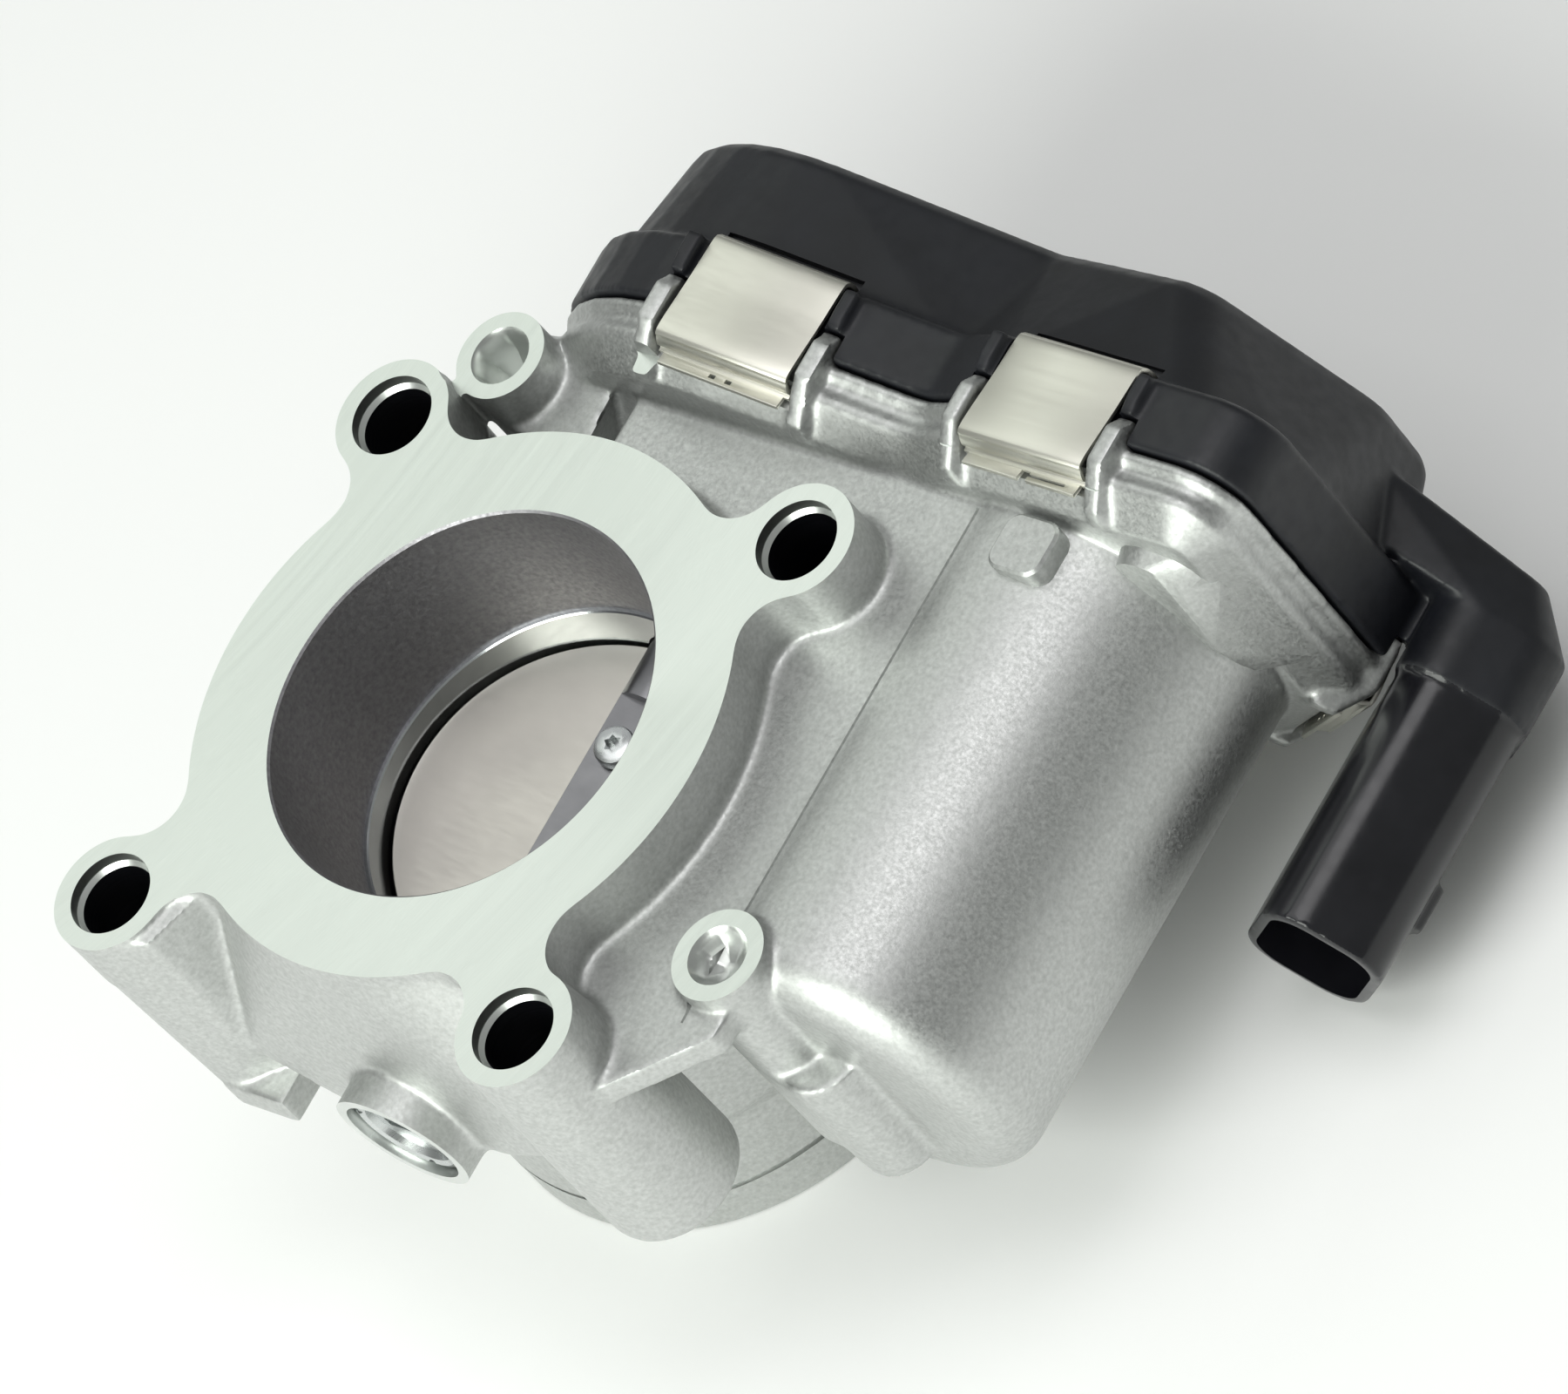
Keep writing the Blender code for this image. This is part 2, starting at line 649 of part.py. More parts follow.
def housing():
    running = SHAFT_R + GAP
    spring_pocket = 11.4
    # cap seat, shaft clearance, seal and bearing seat, spring pocket
    shaft_line = [(BOSS_BORE_R, -50.0), (BOSS_BORE_R, -32.0), (running, -32.0), (running, 31.2),
                  (BOSS_BORE_R, 31.2), (BOSS_BORE_R, 46.0), (spring_pocket, 46.0), (spring_pocket, 60.0)]
    cutters = bore_cutters() + bolt_hole_cutters() + [
        turned_y(shaft_line, steps=26),
        rod_y(MOTOR_BORE_R, MOTOR_END_Y + 2.6, 60.0, (MOTOR_X, SHAFT_Z), 48),
        rod_y(GEAR_PIN_R + GAP, 44.0, 60.0, (GEAR_PIN_X, SHAFT_Z), 16),
        prism_y(rounded_polygon(CASE_CORNERS, RIM_INNER_INSET), TRAY_FLOOR_Y, 62.0),
        rod_z(SMALL_HOLE_R, MOTOR_BOSS_TOP - MOTOR_BOSS_HOLE_DEPTH, 5.0, MOTOR_BOSS, 20),
        rod_z(SMALL_HOLE_R, GEAR_BOSS_TOP - GEAR_BOSS_HOLE_DEPTH, 5.0, GEAR_BOSS, 20),
        rod_y(STOP_PIN_R + GAP, 52.4, 60.0, STOP_PIN, 12),
    ]
    cutters += [rod_y(MOTOR_SCREW_R + GAP, 47.0, 60.0, motor_screw_place(a), 12) for a in MOTOR_SCREW_ANGLES]
    return cut(housing_blank(), cutters)


def motor_screw_place(angle):
    turn = math.radians(angle)
    return MOTOR_X + MOTOR_SCREW_CIRCLE_R * math.cos(turn), SHAFT_Z + MOTOR_SCREW_CIRCLE_R * math.sin(turn)


place("housing", housing(), CAST)


# ---------------------------------------------------------------- gear cover with its connector

def socket_section(width, narrow, corner, centre=(SOCKET_X, SOCKET_Z)):
    return turned_outline(rounded_rectangle(width, narrow, corner, 4), SLANT, centre)


CLIP_RECESS = [  # (out of the side, y): the window that a clip sits in
    (-1.4, SKIRT_LOW_Y - 4.0), (4.0, SKIRT_LOW_Y - 4.0), (4.0, SKIRT_TOP_Y + 2.2), (-4.1, SKIRT_TOP_Y + 2.2),
    (-4.1, SKIRT_TOP_Y + 0.1), (-1.4, SKIRT_TOP_Y + 0.1)]


def connector():
    """The socket, the neck that turns it towards the cover, and its latch nub."""
    socket = prism_y(socket_section(SOCKET_WIDE, SOCKET_NARROW, SOCKET_CORNER), SOCKET_MOUTH_Y, SOCKET_TOP_Y)
    wide = socket_section(SOCKET_WIDE + 1.2, SOCKET_NARROW + 1.2, SOCKET_CORNER)
    small = socket_section(SOCKET_WIDE - 3.0, SOCKET_NARROW - 5.0, 3.0, (SOCKET_X - 2.5, SOCKET_Z + 2.0))
    inner = socket_section(20.0, 6.0, 2.0, (74.0, -41.0))
    neck_low = [(x, SOCKET_TOP_Y - 2.0, z) for x, z in wide]
    neck_middle = [(x, SKIRT_TOP_Y, z) for x, z in wide]
    neck_top = [(x, 73.0, z) for x, z in small]
    bridge = hull(neck_middle + neck_top + [(x, y, z) for x, z in inner for y in (67.5, 76.0)])
    latch = turned_outline(rounded_rectangle(3.6, 2.4, 0.5, 1), SLANT, (SOCKET_X + 6.35, SOCKET_Z - 5.6))
    return [socket, hull(neck_low + neck_middle + neck_top), bridge, prism_y(latch, 30.0, 36.0)]


def skirt_ribs():
    """Short upright ribs above the fins, which guide the clips sideways."""
    made = []
    for site in clip_sites():
        proud = 0.5 if site == slanted_site() else 1.5
        low = FIN_TOP_Y + GAP
        side_view = ((RIB_ROOT, low), (proud - 0.4, low), (proud, low + 2.0),
                     (proud, RIB_TOP_Y), (RIB_ROOT, RIB_TOP_Y))
        for middle in (-FIN_OFFSET, FIN_OFFSET):
            rib = hull([(x, y, middle + w) for w in (-RIB_HALF, RIB_HALF) for x, y in side_view])
            made.append(at_clip(rib, site))
    return made


def gear_cover():
    seat_y = TRAY_RIM_Y + GAP + SEAL_THICK + GAP
    skirt = prism_y(rounded_polygon(CASE_CORNERS, 0.0), SKIRT_LOW_Y, SKIRT_TOP_Y)
    top = rounded_polygon(DOME_TOP_CORNERS)
    dome = loft_y([(rounded_polygon(DOME_BASE_CORNERS), SKIRT_TOP_Y - 1.0), (top, DOME_TOP_Y - 2.0),
                   (rounded_polygon(DOME_TOP_CORNERS, 1.6), DOME_TOP_Y)])
    shell = join(skirt, [dome] + connector() + skirt_ribs())
    both_walls = 2 * SOCKET_WALL
    inside_corner = SOCKET_CORNER - SOCKET_WALL
    socket_inside = socket_section(SOCKET_WIDE - both_walls, SOCKET_NARROW - both_walls, inside_corner)
    cutters = [
        prism_y(rounded_polygon(CASE_CORNERS, SKIRT_WALL), SKIRT_LOW_Y - 2.0, seat_y),
        loft_y([(rounded_polygon(DOME_BASE_CORNERS, 3.6), seat_y - 1.0),
                (rounded_polygon(DOME_TOP_CORNERS, 2.2), DOME_TOP_Y - 2.4)]),
        prism_y(socket_inside, SOCKET_MOUTH_Y - 5.0, SOCKET_FLOOR_Y),
    ]
    half = CLIP_WIDTH / 2 + 0.5
    room = FIN_HALF + GAP
    for site in clip_sites():
        cutters.append(at_clip(prism_z(CLIP_RECESS, -half, half), site))
        for middle in (-FIN_OFFSET, FIN_OFFSET):
            notch = box((-5.0, SKIRT_LOW_Y - 2.0, middle - room), (4.0, FIN_TOP_Y + GAP, middle + room))
            cutters.append(at_clip(notch, site))
    for x, z in pin_places():
        slot = turned_outline(rounded_rectangle(1.3, 1.3, 0.1, 1), SLANT, (x, z))
        cutters.append(prism_y(slot, SOCKET_FLOOR_Y - 1.0, 53.0))
    return cut(shell, cutters)


def pin_places():
    """Two rows of three pins on the socket floor."""
    along = Vector((math.cos(SLANT), math.sin(SLANT)))
    across = Vector((-along.y, along.x))
    places = []
    for row in (-1, 1):
        for column in (-1, 0, 1):
            spot = Vector((SOCKET_X, SOCKET_Z)) + along * (column * 4.4) + across * (row * 2.6)
            places.append((spot.x, spot.y))
    return places


place("gear_cover", gear_cover(), BLACK)

for number, (pin_x, pin_z) in enumerate(pin_places(), 1):
    blade = rounded_rectangle(0.7, 0.7, 0.1, 1)
    tip = rounded_rectangle(0.3, 0.3, 0.05, 1)
    blade_here = turned_outline(blade, SLANT, (pin_x, pin_z))
    tip_here = turned_outline(tip, SLANT, (pin_x, pin_z))
    pin = loft_y([(tip_here, 33.0), (blade_here, 34.2), (blade_here, 52.5)])
    place(f"connector_pin_{number}", pin, COPPER)


# ---------------------------------------------------------------- seal and clips

def case_seal():
    low = TRAY_RIM_Y + GAP
    outer = rounded_polygon(CASE_CORNERS, RIM_OUTER_INSET)
    inner = rounded_polygon(CASE_CORNERS, RIM_INNER_INSET)
    corners = ((outer, low), (outer, low + SEAL_THICK), (inner, low + SEAL_THICK), (inner, low))
    return closed_ring([[(x, y, z) for x, z in outline] for outline, y in corners])


place("cover_seal", case_seal(), RUBBER)


def strip(profile, thickness, width):
    """A bent strip: a centre line in (x, y) with a thickness, as wide as asked along Z."""
    left, right = [], []
    for i, point in enumerate(profile):
        here = Vector(point)
        before = Vector(profile[max(i - 1, 0)])
        after = Vector(profile[min(i + 1, len(profile) - 1)])
        along = (after - before).normalized()
        side = Vector((-along.y, along.x)) * (thickness / 2)
        left.append(tuple(here + side))
        right.append(tuple(here - side))
    return prism_z(left + right[::-1], -width / 2, width / 2)


CLIP_PROFILE = [  # (out of the side, y) from the hook over the skirt down to the lip under the step
    (-3.4, 66.75), (-1.6, 66.75), (-0.55, 66.35), (0.0, 65.3), (0.35, 60.0), (1.0, 52.6),
    (0.3, 51.5), (-0.9, 51.0), (-1.6, 51.3), (-2.0, 50.5), (-1.7, 48.8)]

for number, site in enumerate(clip_sites(), 1):
    place(f"cover_clip_{number}", at_clip(strip(CLIP_PROFILE, CLIP_THICK, CLIP_WIDTH), site), STAINLESS)


# ---------------------------------------------------------------- throttle shaft group

SHAFT_PIVOT = (0.0, 0.0, SHAFT_Z)


def tilted(bm):
    """Turns a solid drawn for a closed plate to the plate's rest angle about the shaft axis."""
    to_axis = Matrix.Translation((0, 0, -SHAFT_Z))
    return moved(bm, to_axis.inverted() @ Matrix.Rotation(REST_TILT, 4, "Y") @ to_axis)


def plate_screw_holes():
    return [rod_z(PLATE_SCREW_R + GAP, SHAFT_Z - 8, SHAFT_Z + 8, (0.0, y), 16) for y in PLATE_SCREW_Y]


def throttle_shaft():
    rod = rod_y(SHAFT_R, SHAFT_END_Y, SHAFT_TOP_Y, steps=32)
    half = PLATE_THICK / 2 + GAP
    slot = box((-8.0, -PLATE_R - GAP, SHAFT_Z - half), (8.0, PLATE_R + GAP, SHAFT_Z + half))
    flat = box((-8.0, -17.0, SHAFT_Z + SHAFT_FLAT), (8.0, 17.0, SHAFT_Z + 8.0))
    return tilted(cut(rod, [slot, flat] + plate_screw_holes()))


def throttle_plate():
    disc = rod_z(PLATE_R, SHAFT_Z - PLATE_THICK / 2, SHAFT_Z + PLATE_THICK / 2, steps=48)
    return tilted(cut(disc, plate_screw_holes()))


def plate_screw(y):
    low = SHAFT_Z - 4.2
    seat = SHAFT_Z + SHAFT_FLAT + GAP
    profile = [(PLATE_SCREW_R, low), (PLATE_SCREW_R, seat),
               (2.7, seat), (2.7, seat + 1.2), (2.0, seat + 1.9)]
    recess = [box((-a, y - b, seat + 1.1), (a, y + b, seat + 3.0)) for a, b in ((1.7, 0.35), (0.35, 1.7))]
    return tilted(cut(turned_z(profile, (0.0, y), 20), recess))


def sector_gear():
    """Part gear with a round hub; the drawn teeth cover the shaft's whole turn."""
    step = 360.0 / SECTOR_TEETH
    first = -4
    last = round(88.0 / step)
    teeth = gear_outline(SECTOR_TEETH, STAGE_1_MODULE, 0.0, span=(first, last))
    closing = arc((0.0, 0.0), 9.5, 130.0, 300.0, 17)
    wheel = prism_y(shifted(teeth + closing, (0.0, SHAFT_Z)), *SECTOR_Y)
    hub = rod_y(9.5, SECTOR_Y[0] - 1.0, SECTOR_Y[1] + 0.8, steps=32)
    bore = rod_y(SHAFT_R + GAP, 50.0, 80.0, steps=24)
    pockets = [rod_y(4.2, SECTOR_Y[0] + 1.8, 80.0, (16.0 * math.cos(a), SHAFT_Z + 16.0 * math.sin(a)), 16)
               for a in (math.radians(d) for d in (5, 38, 71))]
    return cut(join(wheel, [hub]), [bore] + pockets)


place("throttle_shaft", throttle_shaft(), STEEL, SHAFT_PIVOT)
place("throttle_plate", throttle_plate(), SHEET, SHAFT_PIVOT)
for number, screw_y in enumerate(PLATE_SCREW_Y, 1):
    place(f"plate_screw_{number}", plate_screw(screw_y), STEEL, SHAFT_PIVOT)
place("sector_gear", sector_gear(), NATURAL, SHAFT_PIVOT)
rotor_slot = box((-1.0, SHAFT_TOP_Y + 1.6, SHAFT_Z - 4.0), (1.0, SHAFT_TOP_Y + 4.0, SHAFT_Z + 4.0))
rotor_disc = rod_y(6.0, SHAFT_TOP_Y + GAP, SHAFT_TOP_Y + 2.6, steps=24)
place("sensor_rotor", cut(rotor_disc, [rotor_slot]), FERRITE, SHAFT_PIVOT)


# ---------------------------------------------------------------- idler gear (turns on the gear pin)

GEAR_PIVOT = (GEAR_PIN_X, 0.0, SHAFT_Z)


def intermediate_gear():
    """Large wheel towards the tray, small pinion above it, one moulding."""
    small_phase = math.pi + math.pi / SMALL_TEETH
    axis = (GEAR_PIN_X, SHAFT_Z)
    small_teeth = gear_outline(SMALL_TEETH, STAGE_1_MODULE, small_phase)
    large_teeth = gear_outline(LARGE_TEETH, STAGE_2_MODULE, 0.0, flank_steps=1)
    small = prism_y(shifted(small_teeth, axis), LARGE_GEAR_Y[1] - 0.5, 69.0)
    large = prism_y(shifted(large_teeth, axis), *LARGE_GEAR_Y)
    bore = rod_y(GEAR_PIN_R + GAP, 50.0, 80.0, axis, 16)
    dish_rod = rod_y(17.0, LARGE_GEAR_Y[0] - 2.0, LARGE_GEAR_Y[0] + 1.2, axis, 32)
    dish = cut(dish_rod, [rod_y(6.5, 50.0, 62.0, axis, 20)])
    return cut(join(large, [small]), [bore, dish])


place("intermediate_gear", intermediate_gear(), NATURAL, GEAR_PIVOT)
pin_profile = [(GEAR_PIN_R - 0.4, 44.4), (GEAR_PIN_R, 45.0), (GEAR_PIN_R, 70.6), (GEAR_PIN_R - 0.4, 71.0)]
place("gear_pin", turned_y(pin_profile, (GEAR_PIN_X, SHAFT_Z), 16), STEEL)


# ---------------------------------------------------------------- motor

MOTOR_AXIS = (MOTOR_X, SHAFT_Z)
MOTOR_PIVOT = (MOTOR_X, 0.0, SHAFT_Z)


def motor_can():
    profile = [(CAN_R - 2.0, CAN_END_Y), (CAN_R, CAN_END_Y + 2.0), (CAN_R, CAN_MOUTH_Y)]
    shell = turned_y(profile, MOTOR_AXIS, 48)
    hollow = rod_y(CAN_R - CAN_WALL, CAN_END_Y + CAN_WALL, CAN_MOUTH_Y + 5, MOTOR_AXIS, 48)
    nose = rod_y(3.2, CAN_END_Y - 5, CAN_END_Y + 5, MOTOR_AXIS, 16)
    return cut(shell, [hollow, nose])


def magnet(start):
    inner = arc(MOTOR_AXIS, MAGNET_IN_R, start, start + 130, 12)
    outer = arc(MOTOR_AXIS, CAN_R - CAN_WALL - GAP, start + 130, start, 12)
    return prism_y(inner + outer, -8.0, 30.0)


def armature_core():
    """Five-pole rotor stack."""
    points = []
    for pole in range(5):
        middle = 72.0 * pole
        points += arc(MOTOR_AXIS, ARMATURE_R, middle - 29, middle + 29, 6)
        points += arc(MOTOR_AXIS, ARMATURE_R - 1.6, middle + 29, middle + 29.01, 1)[:1]
        points += arc(MOTOR_AXIS, 6.0, middle + 28, middle + 44, 2)
        points += arc(MOTOR_AXIS, ARMATURE_R - 1.6, middle + 43, middle + 43.01, 1)[:1]
    return cut(prism_y(points, -6.0, 28.0), [rod_y(MOTOR_SHAFT_R + GAP, -10, 40, MOTOR_AXIS, 16)])


def winding(low, high):
    return pipe_y(12.4, 5.0, low, high, MOTOR_AXIS, 20)


def motor_end_plate():
    """The brush carrier: a plug in the motor bore, a flange on the case floor and two screw ears."""
    flange_top = TRAY_FLOOR_Y + 1.6
    plug = rod_y(MOTOR_BORE_R - GAP, CAN_MOUTH_Y + GAP, TRAY_FLOOR_Y + 1.0, MOTOR_AXIS, 48)
    flange = rod_y(MOTOR_BORE_R + 0.6, TRAY_FLOOR_Y + GAP, flange_top, MOTOR_AXIS, 48)
    ears = [rod_y(3.0, TRAY_FLOOR_Y + GAP, flange_top, motor_screw_place(a), 16) for a in MOTOR_SCREW_ANGLES]
    holes = [rod_y(MOTOR_SCREW_R + GAP, 40, 60, motor_screw_place(a), 12) for a in MOTOR_SCREW_ANGLES]
    holes.append(rod_y(MOTOR_SHAFT_R + GAP, 40, 60, MOTOR_AXIS, 16))
    for side in (-1, 1):
        z = SHAFT_Z + side * TERMINAL_OFFSET
        holes.append(box((MOTOR_X + 8.0, 45.0, z - 2.6), (MOTOR_X + 10.0, 60.0, z + 2.6)))
    return cut(join(plug, [flange] + ears), holes)


place("motor_can", motor_can(), STEEL)
place("motor_magnet_1", magnet(-65.0), FERRITE)
place("motor_magnet_2", magnet(115.0), FERRITE)
place("motor_end_plate", motor_end_plate(), BLACK)
place("armature_core", armature_core(), STEEL, MOTOR_PIVOT)
place("armature_winding_1", winding(-10.5, -6.3), COPPER, MOTOR_PIVOT)
place("armature_winding_2", winding(28.3, 33.0), COPPER, MOTOR_PIVOT)
commutator = pipe_y(5.0, MOTOR_SHAFT_R + GAP, 35.0, 45.0, MOTOR_AXIS, 20)
place("commutator", commutator, COPPER, MOTOR_PIVOT)
shaft_end_r = MOTOR_SHAFT_R - 0.3
shaft_profile = [(shaft_end_r, -15.0), (MOTOR_SHAFT_R, -14.6), (MOTOR_SHAFT_R, 62.0), (shaft_end_r, 62.4)]
place("motor_shaft", turned_y(shaft_profile, MOTOR_AXIS, 16), STEEL, MOTOR_PIVOT)
pinion_phase = math.pi + math.pi / PINION_TEETH
pinion_teeth = gear_outline(PINION_TEETH, STAGE_2_MODULE, pinion_phase)
pinion_bore = rod_y(MOTOR_SHAFT_R + GAP, 50, 70, MOTOR_AXIS, 16)
pinion_blank = prism_y(shifted(pinion_teeth, MOTOR_AXIS), 56.6, 61.6)
place("motor_pinion", cut(pinion_blank, [pinion_bore]), BRASS, MOTOR_PIVOT)
for number, side in ((1, -1), (2, 1)):
    near, far = sorted((side * 5.4, side * 13.0))
    brush = box((MOTOR_X - 2.0, 38.0, SHAFT_Z + near), (MOTOR_X + 2.0, 42.0, SHAFT_Z + far))
    place(f"motor_brush_{number}", brush, FERRITE)
    tab_z = SHAFT_Z + side * TERMINAL_OFFSET
    tab = box((MOTOR_X + 8.6, 50.0, tab_z - 2.0), (MOTOR_X + 9.4, 64.0, tab_z + 2.0))
    place(f"motor_terminal_{number}", tab, COPPER)
for number, angle in enumerate(MOTOR_SCREW_ANGLES, 1):
    seat = TRAY_FLOOR_Y + 1.6 + GAP
    profile = [(MOTOR_SCREW_R, 47.4), (MOTOR_SCREW_R, seat),
               (2.8, seat), (2.8, seat + 1.3), (2.1, seat + 1.9)]
    place(f"motor_screw_{number}", turned_y(profile, motor_screw_place(angle), 16), STEEL)


def wave_spring():
    """Washer with three waves that loads the motor can towards the gear case."""
    steps = 48
    loops = []
    for radius, lift in ((19.0, -0.15), (19.0, 0.15), (15.5, 0.15), (15.5, -0.15)):
        loop = []
        for i in range(steps):
            a = 2 * math.pi * i / steps
            y = MOTOR_END_Y + 3.2 + 0.14 * math.sin(3 * a) + lift
            loop.append((MOTOR_X + radius * math.cos(a), y, SHAFT_Z + radius * math.sin(a)))
        loops.append(loop)
    return closed_ring(loops)


place("motor_wave_spring", wave_spring(), STEEL)


# ---------------------------------------------------------------- bearings, seal, spring, sensor, stop

place("bearing_gear_side", pipe_y(BEARING_R, SHAFT_R + GAP, 36.2, 45.4, steps=24), STEEL)
place("bearing_end_side", pipe_y(BEARING_R, SHAFT_R + GAP, -40.6, -32.4, steps=24), STEEL)
place("shaft_seal", pipe_y(BEARING_R, SHAFT_R + GAP, 31.6, 35.8, steps=24), RUBBER)


def end_cap():
    disc = turned_y([(7.0, -44.6), (BOSS_BORE_R - GAP, -44.2), (BOSS_BORE_R - GAP, -41.6)], steps=32)
    slot = box((-4.0, -46.0, SHAFT_Z - 0.9), (4.0, -43.4, SHAFT_Z + 0.9))
    return cut(disc, [slot])


place("shaft_end_cap", end_cap(), STEEL)
place("spring_bush", pipe_y(6.6, SHAFT_R + GAP, 46.3, 60.8, steps=24), NATURAL)


def return_spring():
    """Torsion spring around the spring bush."""
    wire, mean, turns, steps, sides = 0.7, 8.6, 4.5, 14, 5
    low, high = 48.0, 58.4
    path = []
    total = round(turns * steps)
    for i in range(total + 1):
        a = 2 * math.pi * i / steps
        y = low + (high - low) * i / total
        path.append(Vector((mean * math.cos(a), y, SHAFT_Z + mean * math.sin(a))))
    loops = []
    for i, point in enumerate(path):
        along = (path[min(i + 1, total)] - path[max(i - 1, 0)]).normalized()
        out = Vector((point.x, 0, point.z - SHAFT_Z)).normalized()
        up = along.cross(out)
        loops.append([tuple(point + out * (wire * math.cos(b)) + up * (wire * math.sin(b)))
                      for b in (2 * math.pi * k / sides for k in range(sides))])
    return solid(loops)


place("return_spring", return_spring(), STEEL)
place("sensor_board", box((-17.0, 77.2, SHAFT_Z - 14.0), (17.0, 78.8, SHAFT_Z + 14.0)), BOARD)
place("stop_pin", rod_y(STOP_PIN_R, 52.8, 60.0, STOP_PIN, 12), STEEL)
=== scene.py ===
"""Looks of the electronic throttle body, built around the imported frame.

Shapes are drawn in millimetres in the bore frame: the bore axis is Z, the machined flange face is z = 0, the
throttle shaft runs along Y towards the gear cover and the motor lies on the +X side.  finished() turns
millimetres into metres and moves a piece to the bore's place in the part frame, read from the record.
"""

import json
import math

import bmesh
import bpy
import numpy as np
from mathutils import Matrix, Vector


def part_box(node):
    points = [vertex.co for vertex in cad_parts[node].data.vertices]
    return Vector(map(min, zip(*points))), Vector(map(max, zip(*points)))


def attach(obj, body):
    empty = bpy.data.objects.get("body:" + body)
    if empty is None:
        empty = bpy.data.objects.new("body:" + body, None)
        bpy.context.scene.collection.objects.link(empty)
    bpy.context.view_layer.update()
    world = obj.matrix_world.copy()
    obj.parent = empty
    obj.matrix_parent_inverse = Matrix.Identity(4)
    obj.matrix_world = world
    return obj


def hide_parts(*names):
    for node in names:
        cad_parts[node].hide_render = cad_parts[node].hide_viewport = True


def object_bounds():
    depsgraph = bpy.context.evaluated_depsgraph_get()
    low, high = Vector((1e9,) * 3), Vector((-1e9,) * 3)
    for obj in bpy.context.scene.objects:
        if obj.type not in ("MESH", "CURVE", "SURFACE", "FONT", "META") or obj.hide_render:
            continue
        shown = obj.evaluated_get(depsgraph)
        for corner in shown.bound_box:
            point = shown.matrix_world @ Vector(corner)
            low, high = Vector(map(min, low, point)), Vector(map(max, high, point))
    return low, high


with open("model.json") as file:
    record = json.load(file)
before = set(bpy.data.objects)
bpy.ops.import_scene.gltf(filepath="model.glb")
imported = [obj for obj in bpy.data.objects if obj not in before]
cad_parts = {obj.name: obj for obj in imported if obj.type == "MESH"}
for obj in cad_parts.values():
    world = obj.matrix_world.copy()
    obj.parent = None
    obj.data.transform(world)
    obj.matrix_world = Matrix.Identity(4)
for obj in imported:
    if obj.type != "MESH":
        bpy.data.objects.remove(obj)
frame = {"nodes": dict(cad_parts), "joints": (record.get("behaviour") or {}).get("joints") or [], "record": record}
cad_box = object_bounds()
record = frame["record"]

MM = 0.001


def joint_place(name):
    return next(Vector(j["pos_m"]) for j in frame["joints"] if j["name"] == name)


def mount_place(name):
    return next(Vector(m["pos_m"]) for m in record["mounts"] if m["name"] == name)


# The bore frame in the part frame, and the axes that the joints give, in millimetres in the bore frame.
SHAFT_PLACE = joint_place("throttle_turn")
BORE_PLACE = Vector((SHAFT_PLACE.x, SHAFT_PLACE.y, mount_place("flange_face").z))
SHAFT_Z = (SHAFT_PLACE.z - BORE_PLACE.z) / MM
GEAR_PIN_X = (joint_place("idler_turn").x - BORE_PLACE.x) / MM
MOTOR_X = (joint_place("motor_turn").x - BORE_PLACE.x) / MM


def node_box(node):
    """A CAD node's lowest and highest corners, in millimetres in the bore frame."""
    low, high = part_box(node)
    return (low - BORE_PLACE) / MM, (high - BORE_PLACE) / MM


SPIGOT_END = (mount_place("spigot_end_face").z - BORE_PLACE.z) / MM
DOME_TOP_Y = node_box("gear_cover")[1].y

# Flange, bore and lugs
RING_R = 38.0
BORE_R = 26.7
LAND_R = 25.0
LAND_TOP = -21.5
LAND_BOTTOM = -41.0
LUGS = {"gear_motor": (33.8, 32.7), "gear": (-33.8, 32.7), "end": (-33.8, -37.1), "end_motor": (33.8, -37.1)}
LUG_R = 7.96
NECK_FILLET = 6.0
BOLT_HOLE_R = 5.05
BOLT_MOUTH_R = 5.6
BLIND_DEPTH = 13.0
BARREL_R = 35.6
SPIGOT_R = 34.8
SPIGOT_BORE_R = 29.5
DECK_Z = -8.5
MOTOR_BOSS = (51.0, -18.4)
GEAR_BOSS = (-26.6, 45.6)
BOSS_TOPS = ((MOTOR_BOSS, -5.8), (GEAR_BOSS, -3.6))
SMALL_HOLE_R = 3.6
BORE_FOOT_R = 25.6

# Shaft-end boss, gear case, motor case
BOSS_R = 9.25
BOSS_END_Y = -45.5
BOSS_BORE_R = 7.8
CASE_R = 34.0
TRAY_FLOOR_Y = 54.0
SKIRT_LOW_Y = 56.5
TRAY_RIM_Y = 60.5
SKIRT_TOP_Y = 66.0
RIM_OUTER_INSET = 3.2
RIM_INNER_INSET = 5.7
MOTOR_CASE_R = 23.8
MOTOR_BORE_R = 21.6
MOTOR_END_Y = -20.0
MOTOR_SCREW_CIRCLE = 24.6
MOTOR_SCREW_ANGLES = (46, 250)
MOTOR_SCREW_HOLE_R = 1.8
PAD_PLACE = (60.4, 42.8)
STOP_PIN_HOLE_R = 1.8
STOP_PIN = (-18.0, -50.0)
THICK_LUG_R = 9.5
THICK_LUG_SHIFT = 1.2

# Connector and clips
SLANT = math.radians(48.65)
CLIP_WIDTH = 19.6
FIN_OFFSET = CLIP_WIDTH / 2 + 2.0
FIN_TOP_Y = 59.6
GAP = 0.3


# ---------------------------------------------------------------- outlines, in millimetres

def arc(centre, radius, start, end, steps):
    points = []
    for i in range(steps + 1):
        angle = math.radians(start + (end - start) * i / steps)
        points.append((centre[0] + radius * math.cos(angle), centre[1] + radius * math.sin(angle)))
    return points


def circle(centre, radius, steps):
    return arc(centre, radius, 0.0, 360.0, steps)[:-1]


